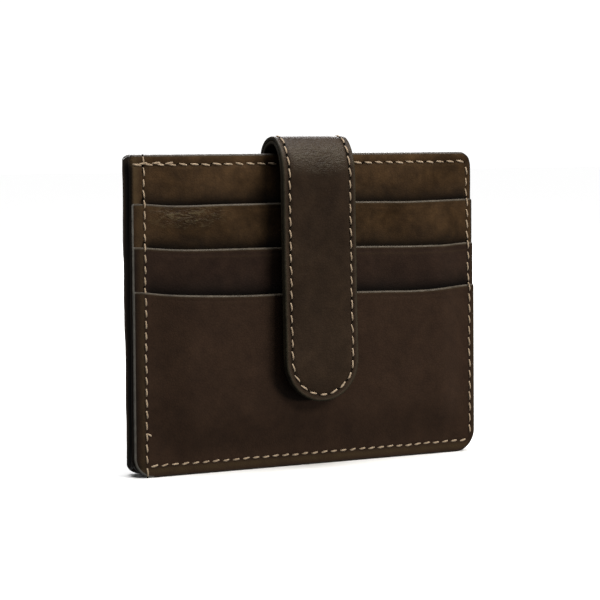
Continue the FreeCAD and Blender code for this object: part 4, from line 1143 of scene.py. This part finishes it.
# ---------------------------------------------------------------- studio
floor_mesh = bpy.data.meshes.new("floor")
floor_mesh.from_pydata([(-6, -6, 0), (6, -6, 0), (6, 6, 0), (-6, 6, 0)], [], [(0, 1, 2, 3)])
floor = bpy.data.objects.new("floor", floor_mesh)
scene.collection.objects.link(floor)
mat, tree, bsdf, vec = node_tree("floor_white")
bsdf.inputs["Base Color"].default_value = (0.93, 0.93, 0.93, 1)
bsdf.inputs["Roughness"].default_value = 0.9
bsdf.inputs["Specular IOR Level"].default_value = 0.0
floor_mesh.materials.append(mat)
floor.visible_diffuse = False
floor.visible_glossy = False

world = bpy.data.worlds.new("studio")
scene.world = world
world.use_nodes = True
wt = world.node_tree
wt.nodes.clear()
wout = wt.nodes.new("ShaderNodeOutputWorld")
wmix = wt.nodes.new("ShaderNodeMixShader")
wlow = wt.nodes.new("ShaderNodeBackground")
wcam = wt.nodes.new("ShaderNodeBackground")
wpath = wt.nodes.new("ShaderNodeLightPath")
wlow.inputs["Color"].default_value = (1, 1, 1, 1)
wlow.inputs["Strength"].default_value = 0.11
wcam.inputs["Color"].default_value = (1, 1, 1, 1)
wcam.inputs["Strength"].default_value = 1.1
wt.links.new(wpath.outputs["Is Camera Ray"], wmix.inputs["Fac"])
wt.links.new(wlow.outputs[0], wmix.inputs[1])
wt.links.new(wcam.outputs[0], wmix.inputs[2])
wt.links.new(wmix.outputs[0], wout.inputs["Surface"])


def area(name, where, target, size, watts, colour=(1, 1, 1)):
    data = bpy.data.lights.new(name, "AREA")
    data.shape = "RECTANGLE"
    data.size, data.size_y = size
    data.energy = watts
    data.color = colour
    light = bpy.data.objects.new(name, data)
    scene.collection.objects.link(light)
    d = np.array(target, float) - np.array(where, float)
    light.matrix_world = Matrix.Translation(Vector(where)) @ Vector(d).to_track_quat("-Z", "Y").to_matrix().to_4x4()
    return light


sun_data = bpy.data.lights.new("sky_panel", "SUN")
sun_data.energy = 3.0
sun_data.angle = math.radians(48)
sun = bpy.data.objects.new("sky_panel", sun_data)
scene.collection.objects.link(sun)
area("key", (0.40, -0.90, 0.60), (0, 0, 0.04), (0.34, 0.30), 5.6).visible_glossy = False
area("low_key", (0.62, -0.74, 0.06), (0, 0, 0.02), (0.26, 0.12), 3.6).visible_glossy = False
area("strip", (0.42, -0.42, 0.74), (0, -0.005, 0.082), (0.34, 0.22), 3.3, (1.0, 0.92, 0.80))
area("back_fill", (0.45, 1.0, 0.55), (0, 0, 0.04), (0.6, 0.6), 9)
area("left_strip", (-0.60, 0.10, 0.12), (-0.05, 0, 0.05), (0.05, 0.5), 0.7)


def card(name, corners):
    mesh = bpy.data.meshes.new(name)
    mesh.from_pydata(corners, [], [(0, 1, 2, 3)])
    obj = bpy.data.objects.new(name, mesh)
    scene.collection.objects.link(obj)
    mat, tree, bsdf, vec = node_tree(name)
    bsdf.inputs["Base Color"].default_value = (0.002, 0.002, 0.002, 1)
    bsdf.inputs["Roughness"].default_value = 1.0
    bsdf.inputs["Specular IOR Level"].default_value = 0.0
    mesh.materials.append(mat)
    obj.visible_camera = False
    obj.visible_shadow = False
    return obj


card("flag_left", [(-0.22, -0.42, 0.0), (-0.22, 0.12, 0.0), (-0.22, 0.12, 0.35), (-0.22, -0.42, 0.35)])

bpy.context.view_layer.update()
